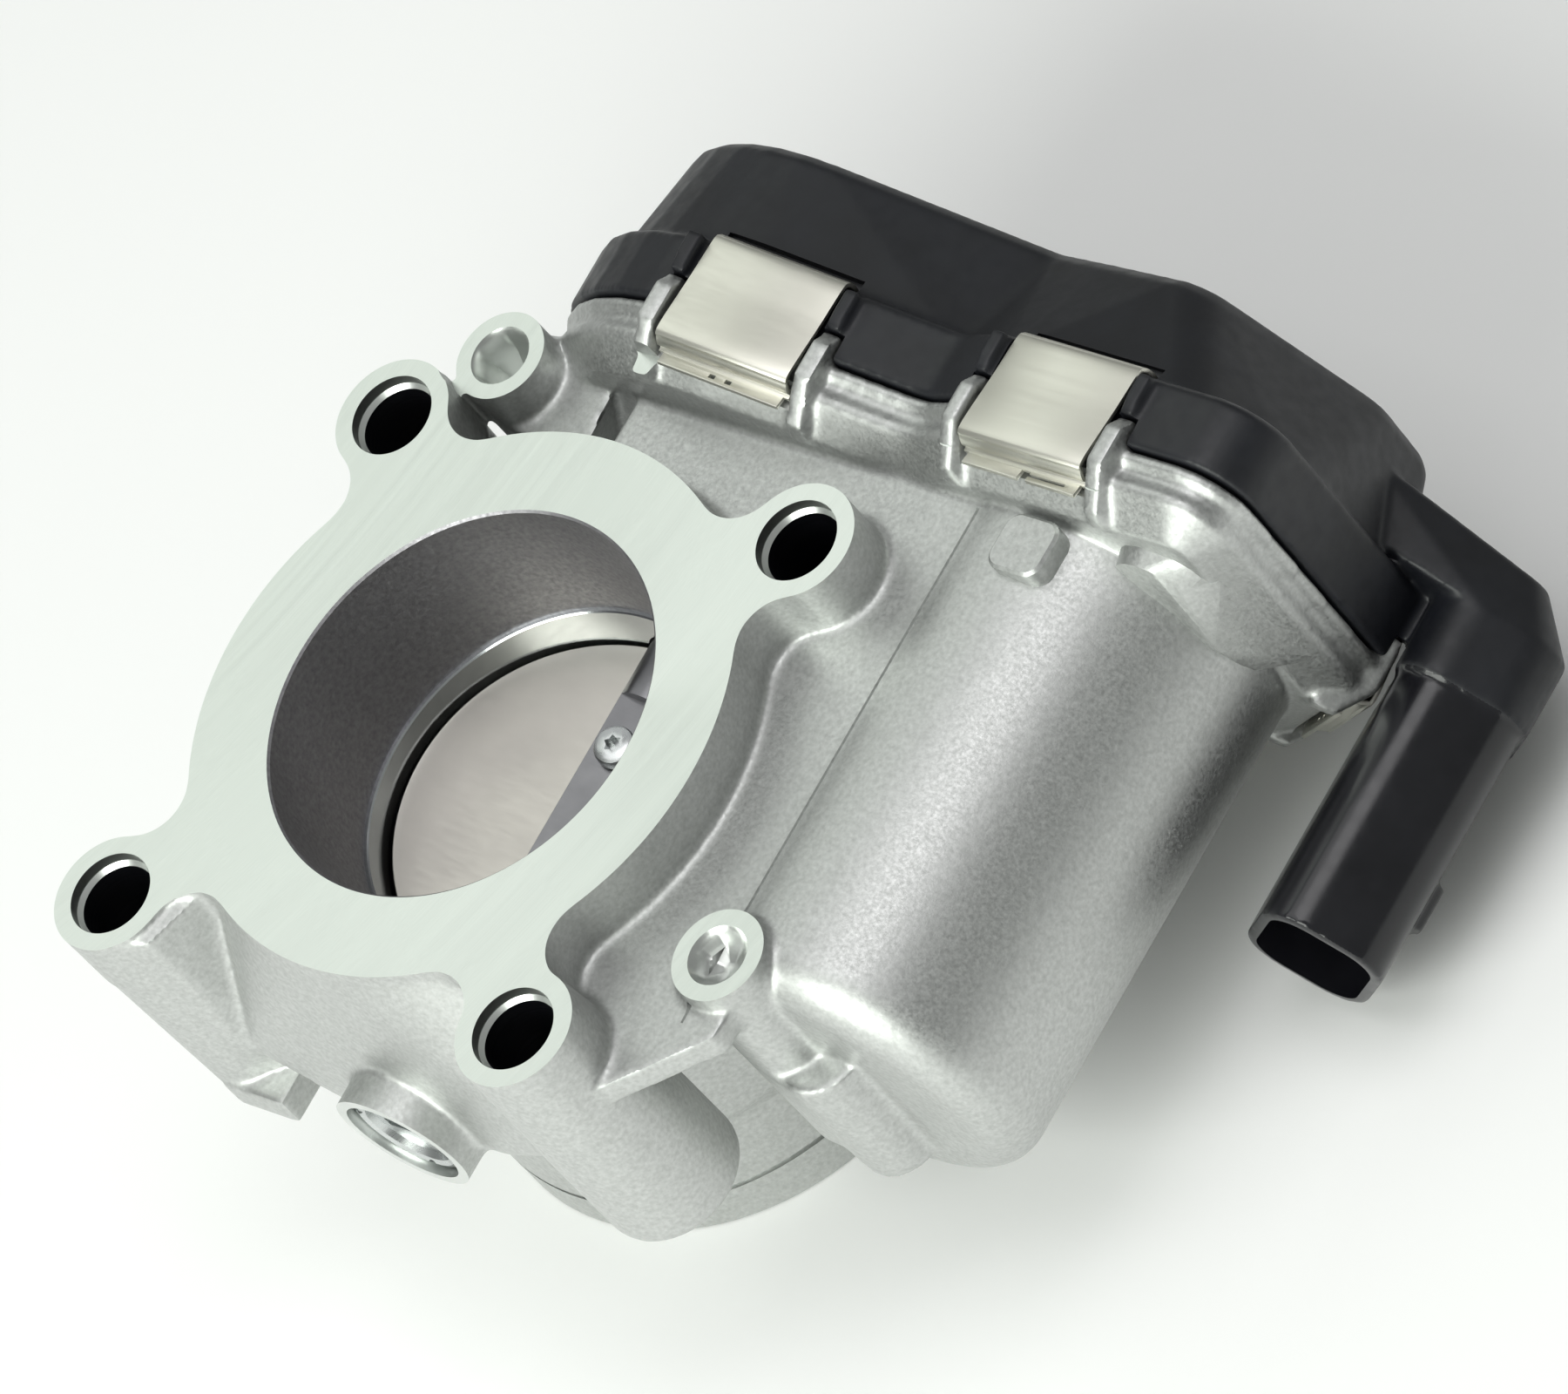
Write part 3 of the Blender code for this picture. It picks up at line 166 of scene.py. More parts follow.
def rounded_polygon(corners, inset=0.0, steps=10):
    """A counter-clockwise polygon of (x, y, radius) corners, each turned into an arc.

    The inset moves the sides inwards.
    """
    count = len(corners)
    sides = []
    for i in range(count):
        a = Vector(corners[i][:2])
        b = Vector(corners[(i + 1) % count][:2])
        along = (b - a).normalized()
        sides.append((a + Vector((-along.y, along.x)) * inset, along))
    points = []
    for i in range(count):
        before, along_in = sides[i - 1]
        after, along_out = sides[i]
        cross = along_in.x * along_out.y - along_in.y * along_out.x
        offset = after - before
        corner = before + along_in * ((offset.x * along_out.y - offset.y * along_out.x) / cross)
        turn = math.atan2(cross, along_in.dot(along_out))
        radius = max(corners[i][2] - math.copysign(inset, turn), min(corners[i][2], 0.4))
        side = Vector((-along_in.y, along_in.x)) * math.copysign(1.0, turn)
        centre = corner - along_in * (radius * math.tan(abs(turn) / 2)) + side * radius
        for k in range(steps + 1):
            points.append(tuple(centre + Matrix.Rotation(turn * k / steps, 2) @ (-side * radius)))
    return [p for i, p in enumerate(points) if math.dist(p, points[i - 1]) > 1e-3]


def rounded_rectangle(width, height, radius, steps=8):
    w, h = width / 2, height / 2
    return rounded_polygon([(-w, -h, radius), (w, -h, radius), (w, h, radius), (-w, h, radius)], 0.0, steps)


def turned_outline(outline, angle, centre):
    cosine, sine = math.cos(angle), math.sin(angle)
    return [(centre[0] + x * cosine - y * sine, centre[1] + x * sine + y * cosine) for x, y in outline]


def flange_outline(out=0.0, fine=6):
    """The flange: a ring with four lugs, each joined to it by two concave fillets; out widens it evenly."""
    to_ring = RING_R + NECK_FILLET
    to_lug = LUG_R + NECK_FILLET
    fillet_r = NECK_FILLET - out
    necks = []
    for x, y in LUGS.values():
        reach = math.hypot(x, y)
        heading = math.degrees(math.atan2(y, x)) % 360
        swing = math.degrees(math.acos((to_ring**2 + reach**2 - to_lug**2) / (2 * to_ring * reach)))
        lean = math.degrees(math.acos((to_lug**2 + reach**2 - to_ring**2) / (2 * to_lug * reach)))
        necks.append(((x, y), heading, swing, lean))
    points = []
    for i, (centre, heading, swing, lean) in enumerate(necks):
        for side in (-1, 1):
            angle = math.radians(heading + side * swing)
            fillet = (to_ring * math.cos(angle), to_ring * math.sin(angle))
            if side < 0:
                points += arc(fillet, fillet_r, heading - swing + 180, heading + lean, fine)
                points += arc(centre, LUG_R + out, heading - 180 + lean, heading + 180 - lean, 4 * fine)[1:-1]
            else:
                points += arc(fillet, fillet_r, heading - lean, heading + swing - 180, fine)
        following = necks[(i + 1) % 4]
        next_start = following[1] - following[2] + (360 if i == 3 else 0)
        points += arc((0, 0), RING_R + out, heading + swing, next_start, 4 * fine)[1:-1]
    return points


def lobe_corner(radius, x, z):
    """The corner whose arc is the round end about the shaft axis and whose side runs on through (x, z)."""
    rise = z - SHAFT_Z
    slope = math.atan2(abs(rise), x) - math.asin(radius / math.hypot(x, rise))
    return (-radius, z - math.copysign(1.0, rise) * (x + radius) * math.tan(slope), radius)


CASE_CORNERS = [  # (x, z, radius), counter-clockwise with +X to the right and +Z up
    lobe_corner(CASE_R, 67.5, -62.5), (67.5, -62.5, 7.0), (86.0, -45.5, 5.0), (88.6, 0.6, 8.0),
    (46.0, 0.6, 4.0), (37.0, -3.2, 6.0), lobe_corner(CASE_R, 37.0, -3.2)]
DOME_BASE_CORNERS = [
    lobe_corner(32.0, 64.0, -61.0), (64.0, -61.0, 10.0), (84.0, -45.0, 8.0), (86.0, -14.0, 9.0),
    (76.0, -1.6, 9.0), (46.5, -1.6, 4.0), (36.0, -5.4, 5.0), lobe_corner(32.0, 36.0, -5.4)]
DOME_TOP_CORNERS = [
    lobe_corner(29.7, 60.0, -58.6), (60.0, -58.6, 10.0), (78.5, -44.0, 8.0), (79.8, -29.0, 8.0),
    (64.0, -6.0, 8.0), (47.0, -8.2, 4.0), (38.0, -9.6, 5.0), lobe_corner(29.7, 38.0, -9.6)]


# ---------------------------------------------------------------- solids, as bmesh in millimetres

def solid(loops):
    """A closed skin over a stack of loops with equal point counts."""
    bm = bmesh.new()
    rings = [[bm.verts.new(p) for p in loop] for loop in loops]
    count = len(rings[0])
    for low, high in zip(rings, rings[1:]):
        for i in range(count):
            j = (i + 1) % count
            bm.faces.new((low[i], low[j], high[j], high[i]))
    bm.faces.new(rings[0][::-1])
    bm.faces.new(rings[-1])
    bmesh.ops.recalc_face_normals(bm, faces=bm.faces)
    return bm


def closed_ring(loops):
    """A closed skin over loops that end where they began, such as a tube's outside, ends and inside."""
    bm = bmesh.new()
    rings = [[bm.verts.new(p) for p in loop] for loop in loops]
    count = len(rings[0])
    for a, b in zip(rings, rings[1:] + rings[:1]):
        for i in range(count):
            j = (i + 1) % count
            bm.faces.new((a[i], a[j], b[j], b[i]))
    bmesh.ops.recalc_face_normals(bm, faces=bm.faces)
    return bm


def prism_z(outline, low, high):
    return solid([[(x, y, z) for x, y in outline] for z in (low, high)])


def prism_y(outline, low, high):
    return solid([[(x, y, z) for x, z in outline] for y in (low, high)])


def loft_y(sections):
    bm = solid([[(x, y, z) for x, z in outline] for outline, y in sections])
    bmesh.ops.triangulate(bm, faces=bm.faces)
    return bm


def turned_z(profile, centre=(0.0, 0.0), steps=96):
    """(radius, z) profile spun about a Z axis."""
    return solid([[(x, y, z) for x, y in circle(centre, r, steps)] for r, z in profile])


def turned_y(profile, centre=None, steps=96):
    """(radius, y) profile spun about a Y axis, the shaft's unless another is given."""
    centre = centre or (0.0, SHAFT_Z)
    return solid([[(x, y, z) for x, z in circle(centre, r, steps)] for r, y in profile])


def rod_z(radius, low, high, centre=(0.0, 0.0), steps=64):
    return turned_z([(radius, low), (radius, high)], centre, steps)


def rod_y(radius, low, high, centre=None, steps=64):
    return turned_y([(radius, low), (radius, high)], centre, steps)


def box(low, high):
    outline = [(low[0], low[1]), (high[0], low[1]), (high[0], high[1]), (low[0], high[1])]
    return prism_z(outline, low[2], high[2])


def hull(points):
    bm = bmesh.new()
    for p in points:
        bm.verts.new(p)
    result = bmesh.ops.convex_hull(bm, input=bm.verts)
    spare = [v for v in result["geom_interior"] + result["geom_unused"] if isinstance(v, bmesh.types.BMVert)]
    bmesh.ops.delete(bm, geom=list(set(spare)), context="VERTS")
    bmesh.ops.recalc_face_normals(bm, faces=bm.faces)
    return bm


def ring_y(radius, y, centre=None, steps=48):
    return [(x, y, z) for x, z in circle(centre or (0.0, SHAFT_Z), radius, steps)]


def ring_z(radius, z, centre=(0.0, 0.0), steps=48):
    return [(x, y, z) for x, y in circle(centre, radius, steps)]


def moved(bm, matrix):
    bm.transform(matrix)
    return bm


# ---------------------------------------------------------------- mesh work

def working_object(shapes, name="work"):
    """One object that holds one or more solids."""
    mesh = bpy.data.meshes.new(name)
    whole = bmesh.new()
    for bm in shapes if isinstance(shapes, list) else [shapes]:
        part = bpy.data.meshes.new("part")
        bm.to_mesh(part)
        bm.free()
        whole.from_mesh(part)
        bpy.data.meshes.remove(part)
    whole.to_mesh(mesh)
    whole.free()
    made = bpy.data.objects.new(name, mesh)
    bpy.context.scene.collection.objects.link(made)
    return made


def with_modifiers(obj):
    """The object with its modifiers applied to its mesh."""
    bpy.context.view_layer.update()
    mesh = bpy.data.meshes.new_from_object(obj.evaluated_get(bpy.context.evaluated_depsgraph_get()))
    obj.modifiers.clear()
    old = obj.data
    obj.data = mesh
    bpy.data.meshes.remove(old)
    return obj


def relaxed(co, edges, steps, factor=0.5):
    """Points moved towards their neighbours' average, step by step."""
    a, b = edges[:, 0], edges[:, 1]
    count = np.bincount(np.concatenate((a, b)), minlength=len(co)).clip(1)[:, None]
    for _ in range(steps):
        total = [np.bincount(a, co[b, k], len(co)) + np.bincount(b, co[a, k], len(co)) for k in range(3)]
        co = co + factor * (np.stack(total, 1) / count - co)
    return co


def points_of(mesh):
    co = np.zeros(len(mesh.vertices) * 3)
    mesh.vertices.foreach_get("co", co)
    return co.reshape(-1, 3)


def set_points(mesh, co):
    mesh.vertices.foreach_set("co", co.ravel())
    mesh.update()


def moulded(shapes, voxel, edge_steps, fillet_steps, name="moulded"):
    """Solids fused into one skin: its outer edges are softened and its inner corners get larger fillets."""
    obj = working_object(shapes, name)
    remesh = obj.modifiers.new("fuse", "REMESH")
    remesh.mode = "VOXEL"
    remesh.voxel_size = voxel
    with_modifiers(obj)
    mesh = obj.data
    edges = np.zeros(len(mesh.edges) * 2, np.int64)
    mesh.edges.foreach_get("vertices", edges)
    edges = edges.reshape(-1, 2)
    light = relaxed(points_of(mesh), edges, edge_steps)
    heavy = relaxed(light, edges, fillet_steps)
    set_points(mesh, light)
    normals = np.zeros(len(light) * 3)
    mesh.vertices.foreach_get("normal", normals)
    normals = normals.reshape(-1, 3)
    fill = ((heavy - light) * normals).sum(1).clip(0.0)[:, None]
    set_points(mesh, relaxed(light + normals * fill, edges, 2))
    return obj


def carved(obj, cutters):
    """The object cut by all the solids, which are first joined into one cutter."""
    joined = working_object(cutters[0], "cutter")
    helpers = [joined]
    for cutter in cutters[1:]:
        helpers.append(working_object(cutter, "cutter"))
        modifier = joined.modifiers.new("join", "BOOLEAN")
        modifier.solver = "MANIFOLD"
        modifier.operation = "UNION"
        modifier.object = helpers[-1]
    with_modifiers(joined)
    modifier = obj.modifiers.new("cut", "BOOLEAN")
    modifier.solver = "MANIFOLD"
    modifier.operation = "DIFFERENCE"
    modifier.object = joined
    with_modifiers(obj)
    for helper in helpers:
        bpy.data.objects.remove(helper, do_unlink=True)
    return obj


def finished(obj, name, materials, body="root", stands_for=(), sharp=35.0):
    """Turns millimetres in the bore frame into metres in the part frame and makes the object a piece."""
    obj.name = name
    obj.data.name = name
    obj.data.transform(Matrix.Translation(BORE_PLACE) @ Matrix.Scale(MM, 4))
    obj.data.materials.clear()
    for finish in materials:
        obj.data.materials.append(finish)
    obj.data.shade_smooth()
    obj.data.set_sharp_from_angle(angle=math.radians(sharp))
    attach(obj, body)
    if stands_for:
        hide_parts(*stands_for)
    return obj


def face_arrays(mesh):
    """Centres and normals of the faces."""
    centres = np.zeros(len(mesh.polygons) * 3)
    normals = np.zeros(len(mesh.polygons) * 3)
    mesh.polygons.foreach_get("center", centres)
    mesh.polygons.foreach_get("normal", normals)
    return centres.reshape(-1, 3), normals.reshape(-1, 3)


# ---------------------------------------------------------------- materials

class Graph:
    """Short names for building a material's nodes."""

    def __init__(self, name):
        self.made = bpy.data.materials.new(name)
        self.made.use_nodes = True
        self.tree = self.made.node_tree
        self.shader = self.tree.nodes["Principled BSDF"]
        self.place = self.node("ShaderNodeTexCoord").outputs["Object"]

    def node(self, kind, **values):
        made = self.tree.nodes.new(kind)
        for key, value in values.items():
            setattr(made, key, value)
        return made

    def link(self, source, target):
        self.tree.links.new(source, target)

    def noise(self, scale, detail=3.0, place=None, roughness=0.5, stretch=None):
        made = self.node("ShaderNodeTexNoise")
        made.inputs["Scale"].default_value = scale
        made.inputs["Detail"].default_value = detail
        made.inputs["Roughness"].default_value = roughness
        source = place or self.place
        if stretch:
            mapping = self.node("ShaderNodeMapping")
            mapping.inputs["Rotation"].default_value = stretch[0]
            mapping.inputs["Scale"].default_value = stretch[1]
            self.link(source, mapping.inputs["Vector"])
            source = mapping.outputs["Vector"]
        self.link(source, made.inputs["Vector"])
        return made.outputs["Fac"]

    def spread(self, value, low, high, source_low=0.3, source_high=0.7):
        made = self.node("ShaderNodeMapRange")
        for key, number in (("From Min", source_low), ("From Max", source_high),
                            ("To Min", low), ("To Max", high)):
            made.inputs[key].default_value = number
        self.link(value, made.inputs["Value"])
        return made.outputs["Result"]

    def tint(self, value, dark, light):
        ramp = self.node("ShaderNodeValToRGB")
        ramp.color_ramp.elements[0].position = 0.3
        ramp.color_ramp.elements[1].position = 0.7
        ramp.color_ramp.elements[0].color = (*dark, 1.0)
        ramp.color_ramp.elements[1].color = (*light, 1.0)
        self.link(value, ramp.inputs["Fac"])
        return ramp.outputs["Color"]

    def bump(self, height, strength, distance, under=None):
        made = self.node("ShaderNodeBump")
        made.inputs["Strength"].default_value = strength
        made.inputs["Distance"].default_value = distance * MM
        self.link(height, made.inputs["Height"])
        if under:
            self.link(under, made.inputs["Normal"])
        return made.outputs["Normal"]

    def finish(self, colour=None, roughness=None, normal=None, metallic=0.0, **inputs):
        for value, key in ((colour, "Base Color"), (roughness, "Roughness"), (normal, "Normal")):
            if isinstance(value, (int, float)):
                self.shader.inputs[key].default_value = value
            elif isinstance(value, tuple):
                self.shader.inputs[key].default_value = (*value, 1.0)
            elif value is not None:
                self.link(value, self.shader.inputs[key])
        self.shader.inputs["Metallic"].default_value = metallic
        for key, value in inputs.items():
            self.shader.inputs[key].default_value = value
        return self.made


def cast_metal(name, dark, light, roughness=(0.40, 0.56), grain=0.35):
    """Die-cast skin: a fine sparkling grain over a slow mottling."""
    g = Graph(name)
    colour = g.tint(g.noise(1500.0, 4.0), dark, light)
    rough = g.spread(g.noise(2400.0, 2.0), *roughness)
    slow = g.bump(g.noise(300.0, 2.0), 0.05, 0.08)
    normal = g.bump(g.noise(2600.0, 3.0, roughness=0.7), grain, 0.05, slow)
    return g.finish(colour, rough, normal, 1.0)


def machined_face(name):
    """A milled face: fine arcs about a far centre, as a wide cutter leaves them."""
    g = Graph(name)
    distance = g.node("ShaderNodeVectorMath", operation="DISTANCE")
    g.link(g.place, distance.inputs[0])
    distance.inputs[1].default_value = BORE_PLACE + Vector((-260.0, 70.0, 0.0)) * MM
    place = g.node("ShaderNodeCombineXYZ")
    g.link(distance.outputs["Value"], place.inputs["X"])
    spread = g.noise(60.0, 1.0)
    g.link(g.spread(spread, 0.0, 0.0006), place.inputs["Y"])
    fine = g.noise(9000.0, 3.0, place.outputs["Vector"], 0.6)
    wide = g.noise(1100.0, 2.0, place.outputs["Vector"])
    colour = g.tint(fine, (0.69, 0.73, 0.69), (0.74, 0.78, 0.74))
    rough = g.spread(wide, 0.37, 0.42)
    normal = g.bump(fine, 0.10, 0.02)
    return g.finish(colour, rough, normal, 1.0, Anisotropic=0.4)


def turned_metal(name, dark, light, roughness, lines, strength=0.2, axis="Z"):
    """A turned surface: fine rings along its axis."""
    g = Graph(name)
    split = g.node("ShaderNodeSeparateXYZ")
    g.link(g.place, split.inputs["Vector"])
    place = g.node("ShaderNodeCombineXYZ")
    g.link(split.outputs[axis], place.inputs["X"])
    rings = g.noise(lines, 3.0, place.outputs["Vector"], 0.65)
    colour = g.tint(g.noise(110.0, 4.0), dark, light)
    rough = g.spread(rings, *roughness)
    normal = g.bump(rings, strength, 0.03, g.bump(g.noise(1800.0, 2.0), 0.08, 0.05))
    return g.finish(colour, rough, normal, 1.0)


def rolled_metal(name, dark, light, roughness, direction=(0.0, 0.0, 0.0), stretch=(40.0, 1400.0, 1400.0)):
    """Sheet or strip with long fine rolling lines."""
    g = Graph(name)
    lines = g.noise(1.0, 3.0, None, 0.6, (direction, stretch))
    colour = g.tint(g.noise(90.0, 3.0), dark, light)
    rough = g.spread(lines, *roughness)
    normal = g.bump(lines, 0.10, 0.03)
    return g.finish(colour, rough, normal, 1.0)


def moulded_plastic(name, dark, light, roughness, grain=0.12, scale=1500.0):
    g = Graph(name)
    colour = g.tint(g.noise(120.0, 3.0), dark, light)
    rough = g.spread(g.noise(500.0, 3.0), *roughness)
    slow = g.bump(g.noise(60.0, 2.0), 0.05, 0.4)
    normal = g.bump(g.noise(scale, 3.0, roughness=0.6), grain, 0.05, slow)
    return g.finish(colour, rough, normal, 0.0)


CAST = cast_metal("cast_aluminium_skin", (0.48, 0.49, 0.48), (0.60, 0.61, 0.60))
MACHINED = machined_face("machined_flange_face")
BORE = cast_metal("bore_wall", (0.29, 0.283, 0.30), (0.40, 0.392, 0.41), (0.42, 0.58), 0.2)
LAND = turned_metal("machined_land", (0.52, 0.54, 0.55), (0.66, 0.68, 0.70), (0.10, 0.2), 5200.0, 0.08)
# The bolt-hole walls are painted near black: painted shade for the dark inside of the holes, not the drilled
# metal's own colour.
HOLE_PAINTED_SHADE = turned_metal("hole_wall_painted_shade", (0.010, 0.010, 0.013), (0.022, 0.022, 0.028), (0.5, 0.7), 1500.0)
MOUTH = turned_metal("machined_mouth", (0.60, 0.62, 0.60), (0.78, 0.80, 0.78), (0.25, 0.4), 4000.0)
PLATE = rolled_metal("plate_sheet", (0.54, 0.52, 0.48), (0.60, 0.58, 0.53), (0.36, 0.44))
CLIP = rolled_metal("clip_strip", (0.68, 0.67, 0.60), (0.74, 0.73, 0.66), (0.34, 0.42))
STEEL = turned_metal("steel_turned", (0.46, 0.46, 0.46), (0.60, 0.60, 0.60), (0.22, 0.36), 3500.0, 0.15, "Y")
SHAFT_STEEL = turned_metal("shaft_steel", (0.20, 0.20, 0.21), (0.30, 0.30, 0.31), (0.28, 0.4), 3500.0, 0.1,
                           "Y")
SCREW = turned_metal("screw_steel", (0.50, 0.52, 0.52), (0.66, 0.68, 0.68), (0.22, 0.34), 3500.0, 0.1)
BRASS = turned_metal("brass_turned", (0.62, 0.48, 0.24), (0.74, 0.60, 0.33), (0.25, 0.38), 3500.0, 0.15, "Y")
COPPER = turned_metal("copper_turned", (0.62, 0.33, 0.18), (0.78, 0.46, 0.28), (0.25, 0.4), 3000.0, 0.15, "Y")
COVER = moulded_plastic("cover_plastic", (0.004, 0.0045, 0.007), (0.008, 0.009, 0.013), (0.42, 0.52))
GLOSS = moulded_plastic("connector_plastic", (0.006, 0.006, 0.008), (0.011, 0.011, 0.014), (0.16, 0.24), 0.05)
NATURAL = moulded_plastic("gear_plastic", (0.62, 0.58, 0.48), (0.74, 0.70, 0.60), (0.4, 0.5))
RUBBER = moulded_plastic("seal_rubber", (0.012, 0.012, 0.012), (0.03, 0.03, 0.03), (0.65, 0.8), 0.2)
FERRITE = moulded_plastic("ferrite", (0.05, 0.05, 0.055), (0.10, 0.10, 0.105), (0.5, 0.7), 0.3, 2500.0)
BOARD = moulded_plastic("circuit_board", (0.01, 0.12, 0.05), (0.03, 0.2, 0.08), (0.35, 0.45), 0.08)

FINISH_OF_SLOT = {
    "cast_aluminium": CAST, "steel": STEEL, "stainless_clip": CLIP, "plate_metal": PLATE,
    "brass_pinion": BRASS, "black_plastic": COVER, "gear_plastic": NATURAL, "seal_rubber": RUBBER,
    "copper": COPPER, "ferrite": FERRITE, "circuit_board": BOARD}
for row in record["subparts"]:
    carried = frame["nodes"][row["node"]]
    carried.data.materials.clear()
    carried.data.materials.append(FINISH_OF_SLOT[row["material_slot"]])


# ---------------------------------------------------------------- clip places

def side_site(start, share):
    """A point on a side of the case outline, as (x, z, direction of the outward normal in degrees)."""
    a, b = Vector(CASE_CORNERS[start][:2]), Vector(CASE_CORNERS[start + 1][:2])
    along = b - a
    spot = a + along * share
    return spot.x, spot.y, math.degrees(math.atan2(-along.x, along.y))


CLIP_SITES = [side_site(5, 0.377), side_site(3, 0.704), side_site(1, 0.5),
              side_site(0, 0.453), side_site(0, 0.828)]
SLANTED_SITE = CLIP_SITES[2]


def at_clip(bm, site):
    """Moves a solid drawn with +X outwards and Z along the case side onto a clip site."""
    x, z, normal = site
    return moved(bm, Matrix.Translation((x, 0, z)) @ Matrix.Rotation(-math.radians(normal), 4, "Y"))


# ---------------------------------------------------------------- housing

def lug(place, foot_z, foot_r=7.0):
    return turned_z([(foot_r - 1.6, foot_z), (foot_r, foot_z + 1.6), (LUG_R, -2.0), (LUG_R, 2.0)], place)


def motor_screw_place(angle):
    turn = math.radians(angle)
    return MOTOR_X + MOTOR_SCREW_CIRCLE * math.cos(turn), SHAFT_Z + MOTOR_SCREW_CIRCLE * math.sin(turn)


def thick_lug():
    """The inner lower lug, which grows thicker towards its foot and leans towards the gear side."""
    x, y = LUGS["end_motor"]
    foot = (x, y + THICK_LUG_SHIFT)
    return hull(ring_z(LUG_R, 2.0, (x, y)) + ring_z(LUG_R, -2.0, (x, y)) + ring_z(THICK_LUG_R, -24.0, foot)
                + ring_z(THICK_LUG_R, -38.4, foot) + ring_z(THICK_LUG_R - 1.6, -40.0, foot))


def crisp_shapes():
    """The pad on the motor case and the half-round fairing behind it, whose edges stay sharp."""
    pad = turned_outline(rounded_rectangle(8.4, 7.8, 2.2), 0.0, PAD_PLACE)
    top = turned_outline(rounded_rectangle(7.6, 7.0, 1.8), 0.0, PAD_PLACE)
    raised = solid([[(x, y, -14.0) for x, y in pad], [(x, y, -6.0) for x, y in pad],
                    [(x, y, -5.6) for x, y in top]])
    fairing = hull(ring_y(6.8, 52.8, (75.6, -12.4)) + ring_y(5.6, 45.5, (74.6, -14.6))
                   + [(80.6, 43.5, -23.0), (72.0, 43.5, -23.0), (85.2, 51.5, -8.0), (85.2, 51.5, -36.0),
                      (80.0, 45.0, -31.0)])
    return [raised, fairing]


def added(obj, shapes):
    """The object joined with more solids that keep their own edges."""
    helpers = [working_object(bm, "addition") for bm in shapes]
    for helper in helpers:
        modifier = obj.modifiers.new("join", "BOOLEAN")
        modifier.solver = "MANIFOLD"
        modifier.operation = "UNION"
        modifier.object = helper
    with_modifiers(obj)
    for helper in helpers:
        bpy.data.objects.remove(helper, do_unlink=True)
    return obj


